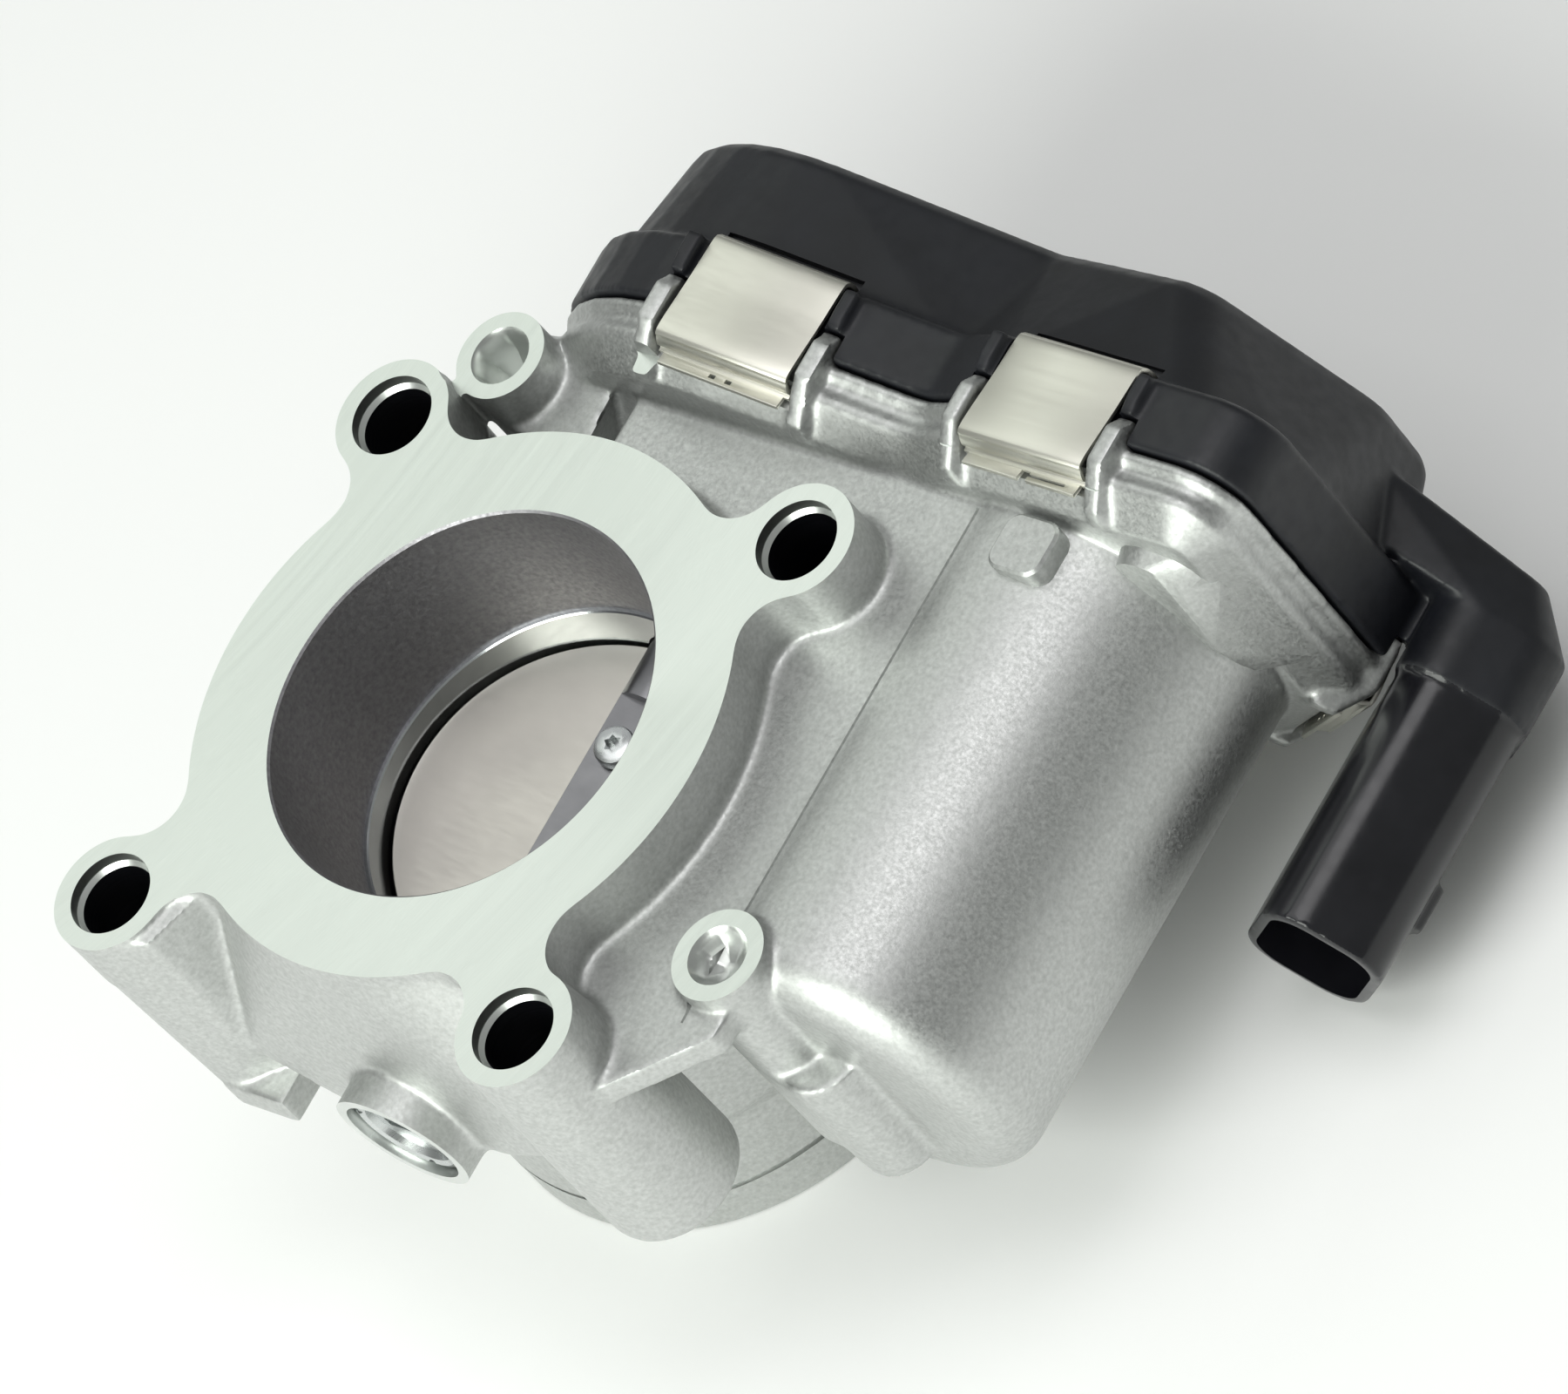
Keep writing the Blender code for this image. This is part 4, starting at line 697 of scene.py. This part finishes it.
def housing_shapes():
    low_of = {"gear_motor": -17.5, "gear": -30.0, "end": -40.0}
    shapes = [prism_z(flange_outline(), DECK_Z - 2.0, 2.0)]
    shapes += [lug(LUGS[name], low) for name, low in low_of.items()]
    shapes.append(thick_lug())
    barrel = [(SPIGOT_R, SPIGOT_END - 2.0), (SPIGOT_R, -52.0), (BARREL_R, -50.0), (RING_R - 0.4, -2.0)]
    shapes.append(turned_z(barrel))
    deck = [(-8.0, 20.0), (30.0, -38.0), (41.5, -39.5), (54.6, -27.5),
            (57.0, 0.0), (57.0, 54.0), (-8.0, 54.0)]
    shapes.append(prism_z(deck, DECK_Z - 4.0, DECK_Z))
    # beam with the shaft-end boss between the two lower lugs
    beam = [(x, y, -0.8) for x, y in arc((0, 0), RING_R - 0.3, -124, -56, 24)] + ring_y(BOSS_R, -39.8)
    for side in (-1, 1):
        beam += [(side * 26.0, -41.5, -27.5), (side * 25.0, -20.0, -28.0), (side * 14.0, -42.0, -33.2)]
        beam += [(side * 27.0, -36.0, -38.0), (side * 20.0, -25.0, -1.0)]
    shapes.append(hull(beam))
    end = LUGS["end"]
    shapes.append(hull(ring_z(7.6, -0.8, end) + ring_z(6.4, -36.0, end)
                       + [(-25.0, -41.5, -0.8), (-20.9, -31.6, -0.8), (-26.0, -41.8, -27.5),
                          (-22.0, -25.0, -28.0), (-24.0, -38.0, -36.0)]))
    shapes.append(rod_y(BOSS_R, BOSS_END_Y - 1.0, -30.0))
    shapes.append(box((-34.0, -44.8, -40.0), (-23.8, -36.0, -35.0)))
    shapes.append(turned_y([(15.0, 30.0), (13.6, TRAY_FLOOR_Y - 0.5)]))
    # motor case with a rounded end
    nose = [(MOTOR_CASE_R - 6.0 + 6.0 * math.sin(a), MOTOR_END_Y + 6.0 - 6.0 * math.cos(a))
            for a in (math.radians(9 * i) for i in range(11))]
    case = [(8.0, MOTOR_END_Y)] + nose + [(MOTOR_CASE_R, TRAY_FLOOR_Y)]
    shapes.append(turned_y(case, (MOTOR_X, SHAFT_Z), 128))
    # bracket boss by the motor and the small boss by the gear case
    shapes.append(rod_z(6.3, -42.0, -4.0, MOTOR_BOSS))
    shapes.append(hull(ring_z(5.4, -46.0, (56.5, -20.0)) + ring_z(6.3, -24.0, (56.5, -19.5))
                       + ring_z(6.3, -24.0, MOTOR_BOSS) + ring_z(5.4, -44.0, MOTOR_BOSS)))
    shapes.append(rod_z(6.2, -26.0, -2.0, GEAR_BOSS))
    shapes.append(hull(ring_z(6.0, -10.0, GEAR_BOSS) + ring_z(5.0, -26.0, GEAR_BOSS)
                       + [(-33.0, 53.0, -12.0), (-12.0, 53.0, -8.0), (-33.0, 53.0, -28.0),
                          (-12.0, 36.0, -10.0)]))
    screw_boss = motor_screw_place(MOTOR_SCREW_ANGLES[1])
    shapes.append(rod_y(3.8, 43.0, TRAY_FLOOR_Y - 0.4, screw_boss))
    shapes.append(rod_y(5.2, 40.0, TRAY_FLOOR_Y, (GEAR_PIN_X, SHAFT_Z)))
    # gear case: slope up from the deck, edge, groove and bead under the skirt, rim inside the skirt
    wall = [(5.4, 47.6), (1.1, 51.2), (0.9, 52.4), (1.5, 52.9), (1.5, 54.3), (0.5, 54.8),
            (0.5, SKIRT_LOW_Y - GAP)]
    shapes.append(loft_y([(rounded_polygon(CASE_CORNERS, inset), y) for inset, y in wall]))
    shapes.append(prism_y(rounded_polygon(CASE_CORNERS, RIM_OUTER_INSET), 53.0, TRAY_RIM_Y))
    for site in CLIP_SITES:
        reach = 0.6 if site == SLANTED_SITE else 1.8
        corners = ((-6.0, 47.0), (-2.6, 47.4), (reach, 52.6), (reach, 57.6), (0.2, FIN_TOP_Y),
                   (-2.4, FIN_TOP_Y), (-4.0, 56.0))
        for middle in (-FIN_OFFSET, FIN_OFFSET):
            shapes.append(at_clip(hull([(x, y, middle + w) for w in (-1.3, 1.3) for x, y in corners]), site))
    return shapes


def faceted_hole(radius, depth, place, top):
    """A shallow cast hole with a round mouth, flat facets below it and a floor that runs to a point."""
    rings = ((0.25, top - depth, 6), (0.9, top - depth * 0.55, 6), (1.0, top - depth * 0.3, 6),
             (1.04, top - 0.5, 36), (1.14, top, 36), (1.14, top + 1.0, 36))
    loops = [[(place[0] + x, place[1] + y, z) for x, y in faceted_circle(radius * share, sides)]
             for share, z, sides in rings]
    return solid(loops)


def faceted_circle(radius, sides, steps=36):
    """A regular polygon with as many points as a round of so many steps, so that rings of both kinds join."""
    points = []
    for i in range(steps):
        angle = 2 * math.pi * i / steps
        half = math.pi / sides
        reach = radius * math.cos(half) / math.cos((angle % (2 * half)) - half)
        points.append((reach * math.cos(angle), reach * math.sin(angle)))
    return points


def housing():
    voxel = 0.45
    obj = added(moulded(housing_shapes(), voxel, 2, 5), crisp_shapes())
    cutters = [
        box((-120.0, -120.0, 0.0), (120.0, 50.0, 30.0)),
        rod_z(40.0, SPIGOT_END - 20.0, SPIGOT_END),
        turned_z([(BORE_FOOT_R, LAND_TOP), (BORE_R, -3.0), (BORE_R, -0.3),
                  (BORE_R + 0.3, 0.0), (BORE_R + 0.3, 5.0)], steps=160),
        turned_z([(LAND_R, LAND_BOTTOM - 1.0), (LAND_R, LAND_TOP - 0.2), (LAND_R + 0.25, LAND_TOP + 0.05),
                  (LAND_R + 0.25, LAND_TOP + 1.0)], steps=160),
        turned_z([(SPIGOT_BORE_R, SPIGOT_END - 5.0), (SPIGOT_BORE_R, LAND_BOTTOM - 5.0),
                  (LAND_R, LAND_BOTTOM)], steps=160),
        closed_ring([ring_z(r, z, steps=160)
                     for r, z in ((37, -63.9), (37, -63.1), (34.2, -63.1), (34.2, -63.9))]),
        rod_y(12.0, BOSS_END_Y - 4.0, BOSS_END_Y),
        turned_y([(BOSS_BORE_R, -50.0), (BOSS_BORE_R, -32.0), (4.8, -32.0), (4.8, 31.2),
                  (BOSS_BORE_R, 31.2), (BOSS_BORE_R, 46.0), (11.4, 46.0), (11.4, 60.0)]),
        rod_y(MOTOR_BORE_R, MOTOR_END_Y + 2.6, 60.0, (MOTOR_X, SHAFT_Z), 96),
        rod_y(2.3, 44.0, 60.0, (GEAR_PIN_X, SHAFT_Z)),
        prism_y(rounded_polygon(CASE_CORNERS, RIM_INNER_INSET), TRAY_FLOOR_Y, 62.0),
        rod_z(7.4, -5.8, 4.0, MOTOR_BOSS),
        rod_z(7.0, -3.6, 4.0, GEAR_BOSS),
        faceted_hole(SMALL_HOLE_R, 3.1, *BOSS_TOPS[0]),
        faceted_hole(SMALL_HOLE_R, 7.5, *BOSS_TOPS[1]),
        rod_y(STOP_PIN_HOLE_R, 52.4, 60.0, STOP_PIN),
    ]
    for name, place in LUGS.items():
        low = -BLIND_DEPTH if name == "gear_motor" else -60.0
        profile = [(BOLT_HOLE_R, low), (BOLT_HOLE_R, -2.2), (BOLT_MOUTH_R, -1.6), (BOLT_MOUTH_R, 1.0)]
        cutters.append(turned_z(profile, place))
    crease = [(48.6, DECK_Z + 0.6), (49.1, DECK_Z - 0.35), (49.6, DECK_Z + 0.6)]
    cutters.append(solid([[(x, y, z) for x, z in crease] for y in (-27.0, 46.5)]))
    half = CLIP_WIDTH / 2 + 0.5
    cutters += [at_clip(box((-3.0, 45.0, -half), (4.0, 52.5, half)), site) for site in CLIP_SITES]
    for angle in MOTOR_SCREW_ANGLES:
        cutters.append(rod_y(MOTOR_SCREW_HOLE_R, 47.0, 60.0, motor_screw_place(angle)))
    carved(obj, cutters)
    centres, normals = face_arrays(obj.data)
    finish = np.zeros(len(centres), np.int32)
    level = normals[:, 2] > 0.999
    radius = np.hypot(centres[:, 0], centres[:, 1])
    finish[level & (np.abs(centres[:, 2]) < 0.02)] = 1
    for place, top in BOSS_TOPS:
        near = np.hypot(centres[:, 0] - place[0], centres[:, 1] - place[1])
        finish[level & (near < 7.0) & (np.abs(centres[:, 2] - top) < 0.02)] = 1
        finish[(near < SMALL_HOLE_R + 0.45) & (centres[:, 2] > top - 20.0) & (centres[:, 2] < top - 0.01)] = 5
    inside = radius < BORE_R + 0.52
    finish[inside & (centres[:, 2] < -0.01) & (centres[:, 2] > LAND_TOP + 0.02)] = 2
    land = (radius < LAND_R + 0.3) & (centres[:, 2] <= LAND_TOP + 0.02) & (centres[:, 2] > LAND_BOTTOM - 0.02)
    finish[inside & (centres[:, 2] <= LAND_TOP + 0.02) & (centres[:, 2] > LAND_TOP - 0.02)] = 2
    finish[land] = 3
    for place in LUGS.values():
        near = np.hypot(centres[:, 0] - place[0], centres[:, 1] - place[1])
        # Bolt-hole walls below the mouth get the near-black painted shade.
        finish[(near < BOLT_HOLE_R + 0.02) & (centres[:, 2] < -2.1)] = 4
        mouth = (near < BOLT_MOUTH_R + 0.02) & (near > BOLT_HOLE_R + 0.02)
        finish[mouth & (centres[:, 2] < -0.01) & (centres[:, 2] > -2.3)] = 5
    along = np.hypot(centres[:, 0], centres[:, 2] - SHAFT_Z)
    finish[(along < BOSS_R + 1) & (centres[:, 1] < BOSS_END_Y + 0.02)] = 5
    finish[(along < BOSS_BORE_R + 0.02) & (centres[:, 1] < -32.0)] = 5
    made = finished(obj, "housing_casting", [CAST, MACHINED, BORE, LAND, HOLE_PAINTED_SHADE, MOUTH],
                    stands_for=["housing"])
    made.data.polygons.foreach_set("material_index", finish)
    return made


housing()


# ---------------------------------------------------------------- gear cover

SOCKET_LOW, SOCKET_HIGH = node_box("connector_pin_1")[0], node_box("connector_pin_6")[1]
SOCKET = ((SOCKET_LOW.x + SOCKET_HIGH.x) / 2, (SOCKET_LOW.z + SOCKET_HIGH.z) / 2)
SOCKET_MOUTH_Y = 20.6
SOCKET_FLOOR_Y = mount_place("connector_floor").y / MM - BORE_PLACE.y / MM


def socket_section(width, narrow, corner, shift=(0.0, 0.0)):
    place = (SOCKET[0] + shift[0], SOCKET[1] + shift[1])
    return turned_outline(rounded_rectangle(width, narrow, corner), SLANT, place)


def gear_cover():
    seat_y = TRAY_RIM_Y + 2.0
    shapes = [
        loft_y([(rounded_polygon(CASE_CORNERS, 0.0), SKIRT_LOW_Y),
                (rounded_polygon(CASE_CORNERS, 0.0), SKIRT_TOP_Y - 0.8),
                (rounded_polygon(CASE_CORNERS, 0.9), SKIRT_TOP_Y)]),
        loft_y([(rounded_polygon(DOME_BASE_CORNERS), SKIRT_TOP_Y - 1.0),
                (rounded_polygon(DOME_TOP_CORNERS), DOME_TOP_Y - 1.4),
                (rounded_polygon(DOME_TOP_CORNERS, 1.4), DOME_TOP_Y)]),
        prism_y(socket_section(22.0, 16.8, 6.0), SOCKET_MOUTH_Y, 58.0),
    ]
    wide = socket_section(23.2, 18.0, 6.0)
    neck = [(x, y, z) for y in (56.0, 66.0) for x, z in wide]
    top = [(x, 73.0, z) for x, z in socket_section(19.0, 11.8, 3.0, (-2.5, 2.0))]
    inner = turned_outline(rounded_rectangle(20.0, 6.0, 2.0), SLANT, (74.0, -41.0))
    shapes.append(hull(neck + top))
    shapes.append(hull(neck[len(wide):] + top + [(x, y, z) for x, z in inner for y in (67.5, 76.0)]))
    latch = turned_outline(rounded_rectangle(3.6, 2.4, 0.5), SLANT, (SOCKET[0] + 6.35, SOCKET[1] - 5.6))
    shapes.append(prism_y(latch, 30.0, 36.0))
    low = FIN_TOP_Y + GAP
    for site in CLIP_SITES:
        proud = 0.5 if site == SLANTED_SITE else 1.5
        rib = ((-2.5, low), (proud - 0.4, low), (proud, low + 2.0), (proud, 65.4), (-2.5, 65.4))
        for middle in (-FIN_OFFSET, FIN_OFFSET):
            shapes.append(at_clip(hull([(x, y, middle + w) for w in (-1.1, 1.1) for x, y in rib]), site))
    voxel = 0.4
    obj = moulded(shapes, voxel, 2, 4)
    cutters = [
        prism_y(rounded_polygon(CASE_CORNERS, 2.8), SKIRT_LOW_Y - 2.0, seat_y),
        loft_y([(rounded_polygon(DOME_BASE_CORNERS, 3.6), seat_y - 1.0),
                (rounded_polygon(DOME_TOP_CORNERS, 2.2), DOME_TOP_Y - 2.4)]),
        prism_y(socket_section(19.2, 14.0, 4.6), SOCKET_MOUTH_Y - 5.0, SOCKET_FLOOR_Y),
    ]
    recess = [(-1.4, SKIRT_LOW_Y - 4.0), (4.0, SKIRT_LOW_Y - 4.0), (4.0, SKIRT_TOP_Y + 2.2),
              (-4.1, SKIRT_TOP_Y + 2.2), (-4.1, SKIRT_TOP_Y + 0.1), (-1.4, SKIRT_TOP_Y + 0.1)]
    for site in CLIP_SITES:
        cutters.append(at_clip(prism_z(recess, -CLIP_WIDTH / 2 - 0.5, CLIP_WIDTH / 2 + 0.5), site))
        for middle in (-FIN_OFFSET, FIN_OFFSET):
            notch = box((-5.0, SKIRT_LOW_Y - 2.0, middle - 1.6), (4.0, FIN_TOP_Y + GAP, middle + 1.6))
            cutters.append(at_clip(notch, site))
    for number in range(1, 7):
        low, high = node_box(f"connector_pin_{number}")
        cutters.append(box((low.x - 0.2, SOCKET_FLOOR_Y - 1.0, low.z - 0.2),
                           (high.x + 0.2, 53.0, high.z + 0.2)))
    carved(obj, cutters)
    centres = face_arrays(obj.data)[0]
    made = finished(obj, "cover_moulding", [COVER, GLOSS], stands_for=["gear_cover"])
    reach = np.hypot(centres[:, 0] - SOCKET[0], centres[:, 2] - SOCKET[1])
    glossy = (centres[:, 1] < 56.0) & (reach < 16.0)
    made.data.polygons.foreach_set("material_index", glossy.astype(np.int32))
    return made


gear_cover()


# ---------------------------------------------------------------- small pieces

def bevelled(bm, width=0.12, segments=3):
    """A solid as an object with its sharp edges rounded over."""
    obj = working_object(bm)
    modifier = obj.modifiers.new("edges", "BEVEL")
    modifier.width = width
    modifier.segments = segments
    modifier.limit_method = "ANGLE"
    modifier.angle_limit = math.radians(30)
    return with_modifiers(obj)


def cut_solid(bm, cutters):
    """A small solid cut by others, as a bmesh."""
    obj = carved(working_object(bm), cutters)
    result = bmesh.new()
    result.from_mesh(obj.data)
    bpy.data.objects.remove(obj, do_unlink=True)
    bmesh.ops.remove_doubles(result, verts=result.verts, dist=0.001)
    bmesh.ops.dissolve_limit(result, angle_limit=math.radians(0.5), verts=result.verts, edges=result.edges)
    return result


def smooth_line(points, steps=6):
    """A smooth curve through the points."""
    ends = [points[0]] + list(points) + [points[-1]]
    line = []
    for i in range(1, len(ends) - 2):
        before, a, b, after = (Vector(p) for p in ends[i - 1:i + 3])
        for k in range(steps):
            t = k / steps
            line.append(0.5 * (2 * a + (b - before) * t + (2 * before - 5 * a + 4 * b - after) * t**2
                               + (3 * a - before - 3 * b + after) * t**3))
    return line + [Vector(points[-1])]


def strip(line, thickness, width):
    left, right = [], []
    for i, here in enumerate(line):
        along = (line[min(i + 1, len(line) - 1)] - line[max(i - 1, 0)]).normalized()
        side = Vector((-along.y, along.x)) * (thickness / 2)
        left.append(tuple(here + side))
        right.append(tuple(here - side))
    return prism_z(left + right[::-1], -width / 2, width / 2)


CLIP_THICK = 0.55
CLIP_LINE = [(-3.4, 66.75), (-1.6, 66.75), (-0.55, 66.35), (0.0, 65.3), (0.35, 60.0), (1.0, 52.6),
             (0.3, 51.5), (-0.9, 51.0), (-1.6, 51.3), (-2.0, 50.5), (-1.7, 48.8)]


def cover_clip(number, site):
    """A bent strip whose lip below the bend is narrower, with two punched holes or a slot in it."""
    strip_solid = strip(smooth_line(CLIP_LINE), CLIP_THICK, CLIP_WIDTH)
    half = CLIP_WIDTH / 2
    corner = half - 0.1
    punched = [box((-3.4, 48.0, side * corner - 0.7), (-1.2, 50.4, side * corner + 0.7)) for side in (-1, 1)]
    if number % 2:
        punched += [box((-3.4, 49.3, z - 0.45), (-1.2, 49.9, z + 0.45)) for z in (-1.2, 1.2)]
    else:
        punched += [box((-3.4, 49.5, -7.0), (-1.2, 49.9, -1.0)), box((-3.4, 48.0, -1.2), (-1.2, 50.2, 0.2))]
    obj = bevelled(at_clip(cut_solid(strip_solid, punched), site), 0.08, 2)
    return finished(obj, f"clip_strip_{number}", [CLIP],
                    stands_for=[f"cover_clip_{number}"])


for clip_number, clip_site in enumerate(CLIP_SITES, 1):
    cover_clip(clip_number, clip_site)

REST_TILT = math.radians(12.0)
SHAFT_R = 4.5
PLATE_R = 24.75
PLATE_THICK = 1.6
PLATE_SCREW_R = 1.5
PLATE_SCREW_Y = (-10.0, 10.0)
SHAFT_FLAT = 2.6


def tilted(bm):
    """Turns a solid drawn for a closed plate to the plate's rest angle about the shaft axis."""
    to_axis = Matrix.Translation((0, 0, -SHAFT_Z))
    return moved(bm, to_axis.inverted() @ Matrix.Rotation(REST_TILT, 4, "Y") @ to_axis)


def screw_holes():
    return [rod_z(PLATE_SCREW_R + GAP, SHAFT_Z - 8, SHAFT_Z + 8, (0.0, y), 32) for y in PLATE_SCREW_Y]


def shaft_group():
    """The plate with a rounded rim, the slotted shaft and its two screws, all at the rest angle."""
    low, high = SHAFT_Z - PLATE_THICK / 2, SHAFT_Z + PLATE_THICK / 2
    rim = [(PLATE_R - 0.15, low), (PLATE_R, low + 0.15), (PLATE_R, high - 0.15), (PLATE_R - 0.15, high)]
    disc = tilted(cut_solid(turned_z(rim, steps=160), screw_holes()))
    finished(working_object(disc), "plate_disc", [PLATE], "throttle", ["throttle_plate"])
    shaft_low, shaft_high = node_box("throttle_shaft")
    ends = [(SHAFT_R - 0.4, shaft_low.y), (SHAFT_R, shaft_low.y + 0.4), (SHAFT_R, shaft_high.y - 0.4),
            (SHAFT_R - 0.4, shaft_high.y)]
    gap = PLATE_THICK / 2 + GAP
    slot = box((-8.0, -PLATE_R - GAP, SHAFT_Z - gap), (8.0, PLATE_R + GAP, SHAFT_Z + gap))
    flat = box((-8.0, -17.0, SHAFT_Z + SHAFT_FLAT), (8.0, 17.0, SHAFT_Z + 8.0))
    bar = tilted(cut_solid(turned_y(ends, steps=96), [slot, flat] + screw_holes()))
    finished(working_object(bar), "shaft_bar", [SHAFT_STEEL], "throttle", ["throttle_shaft"])
    seat = SHAFT_Z + SHAFT_FLAT + GAP
    for number, y in enumerate(PLATE_SCREW_Y, 1):
        head = [(PLATE_SCREW_R, SHAFT_Z - 4.2), (PLATE_SCREW_R, seat), (2.5, seat), (2.7, seat + 0.2),
                (2.7, seat + 1.2), (2.5, seat + 1.6), (1.9, seat + 1.9)]
        star = [(r * math.cos(a), y + r * math.sin(a)) for r, a in
                (((1.25, 0.85)[i % 2], math.pi * i / 6) for i in range(12))]
        screw = tilted(cut_solid(turned_z(head, (0.0, y), 48), [prism_z(star, seat + 0.7, seat + 3.0)]))
        finished(working_object(screw), f"screw_{number}", [SCREW],
                 "throttle", [f"plate_screw_{number}"])


shaft_group()


def end_cap():
    """The plug in the shaft-end boss: a raised rim, a recess with a slot and three staking marks."""
    top, low = -44.6, -41.6
    radius = BOSS_BORE_R - GAP
    cap = turned_y([(5.6, top + 1.1), (5.9, top + 0.3), (6.6, top), (radius - 0.2, top + 0.25),
                    (radius, top + 0.6), (radius, low)])
    marks = []
    for angle in (30.0, 150.0, 270.0):
        turn = math.radians(angle)
        place = (6.9 * math.cos(turn), SHAFT_Z + 6.9 * math.sin(turn))
        marks.append(rod_y(0.7, top - 1.0, top + 0.5, place, 20))
    slot = box((-4.0, top - 1.0, SHAFT_Z - 0.9), (4.0, top + 1.9, SHAFT_Z + 0.9))
    obj = working_object(cut_solid(cap, marks + [slot]))
    return finished(obj, "end_plug", [SCREW], stands_for=["shaft_end_cap"])


end_cap()


# ---------------------------------------------------------------- stage, light and camera

def area_light(name, place, target, size, power, colour=(1.0, 1.0, 1.0)):
    data = bpy.data.lights.new(name, "AREA")
    data.shape = "RECTANGLE"
    data.size, data.size_y = size
    data.energy = power
    data.color = colour
    made = bpy.data.objects.new(name, data)
    made.location = place
    made.rotation_euler = (Vector(target) - Vector(place)).to_track_quat("-Z", "Y").to_euler()
    bpy.context.scene.collection.objects.link(made)
    return made


floor_mesh = bpy.data.meshes.new("floor")
floor_mesh.from_pydata([(-4, -4, 0), (4, -4, 0), (4, 4, 0), (-4, 4, 0)], [], [(0, 1, 2, 3)])
floor = bpy.data.objects.new("floor", floor_mesh)
floor.location = (0.0, 0.0, -0.0002)
pale = Graph("pale_floor")
floor_colour = pale.tint(pale.noise(3.0), (0.93, 0.93, 0.93), (0.96, 0.96, 0.96))
floor_mesh.materials.append(pale.finish(floor_colour, 0.6))
bpy.context.scene.collection.objects.link(floor)

world = bpy.data.worlds.new("studio")
world.use_nodes = True
world.node_tree.nodes["Background"].inputs["Color"].default_value = (0.97, 1.0, 0.97, 1.0)
world.node_tree.nodes["Background"].inputs["Strength"].default_value = 0.28
bpy.context.scene.world = world
bpy.context.scene.view_settings.view_transform = "Standard"

MIDDLE = (cad_box[0] + cad_box[1]) / 2
area_light("key", MIDDLE + Vector((-0.64, 0.25, 0.73)), MIDDLE, (0.6, 0.6), 1.15, (0.95, 1.0, 0.94))
area_light("top", MIDDLE + Vector((0.25, 0.2, 0.9)), MIDDLE, (0.5, 0.5), 1.2, (1.0, 0.98, 1.0))
area_light("sky", MIDDLE + Vector((0.0, 0.0, 3.0)), MIDDLE, (2.2, 2.2), 20.0, (1.0, 1.0, 1.0))
area_light("front", MIDDLE + Vector((0.1, -0.8, 0.5)), MIDDLE, (0.7, 0.7), 8.5, (0.96, 1.0, 0.94))

CAMERA_PLACE = Vector((1510.44, -565.46, 1665.12))
CAMERA_RIGHT = (0.733, 0.4853, -0.4766)
CAMERA_UP = (-0.2322, 0.8371, 0.4953)
CAMERA_BACK = (0.6393, -0.2524, 0.7263)
camera_data = bpy.data.cameras.new("camera")
camera_data.lens = 439.7
camera_data.sensor_width = 36.0
camera_data.clip_end = 20.0
camera = bpy.data.objects.new("camera", camera_data)
turn = Matrix((CAMERA_RIGHT, CAMERA_UP, CAMERA_BACK)).transposed().to_4x4()
camera.matrix_world = Matrix.Translation(BORE_PLACE + CAMERA_PLACE * MM) @ turn
bpy.context.scene.collection.objects.link(camera)
bpy.context.scene.camera = camera
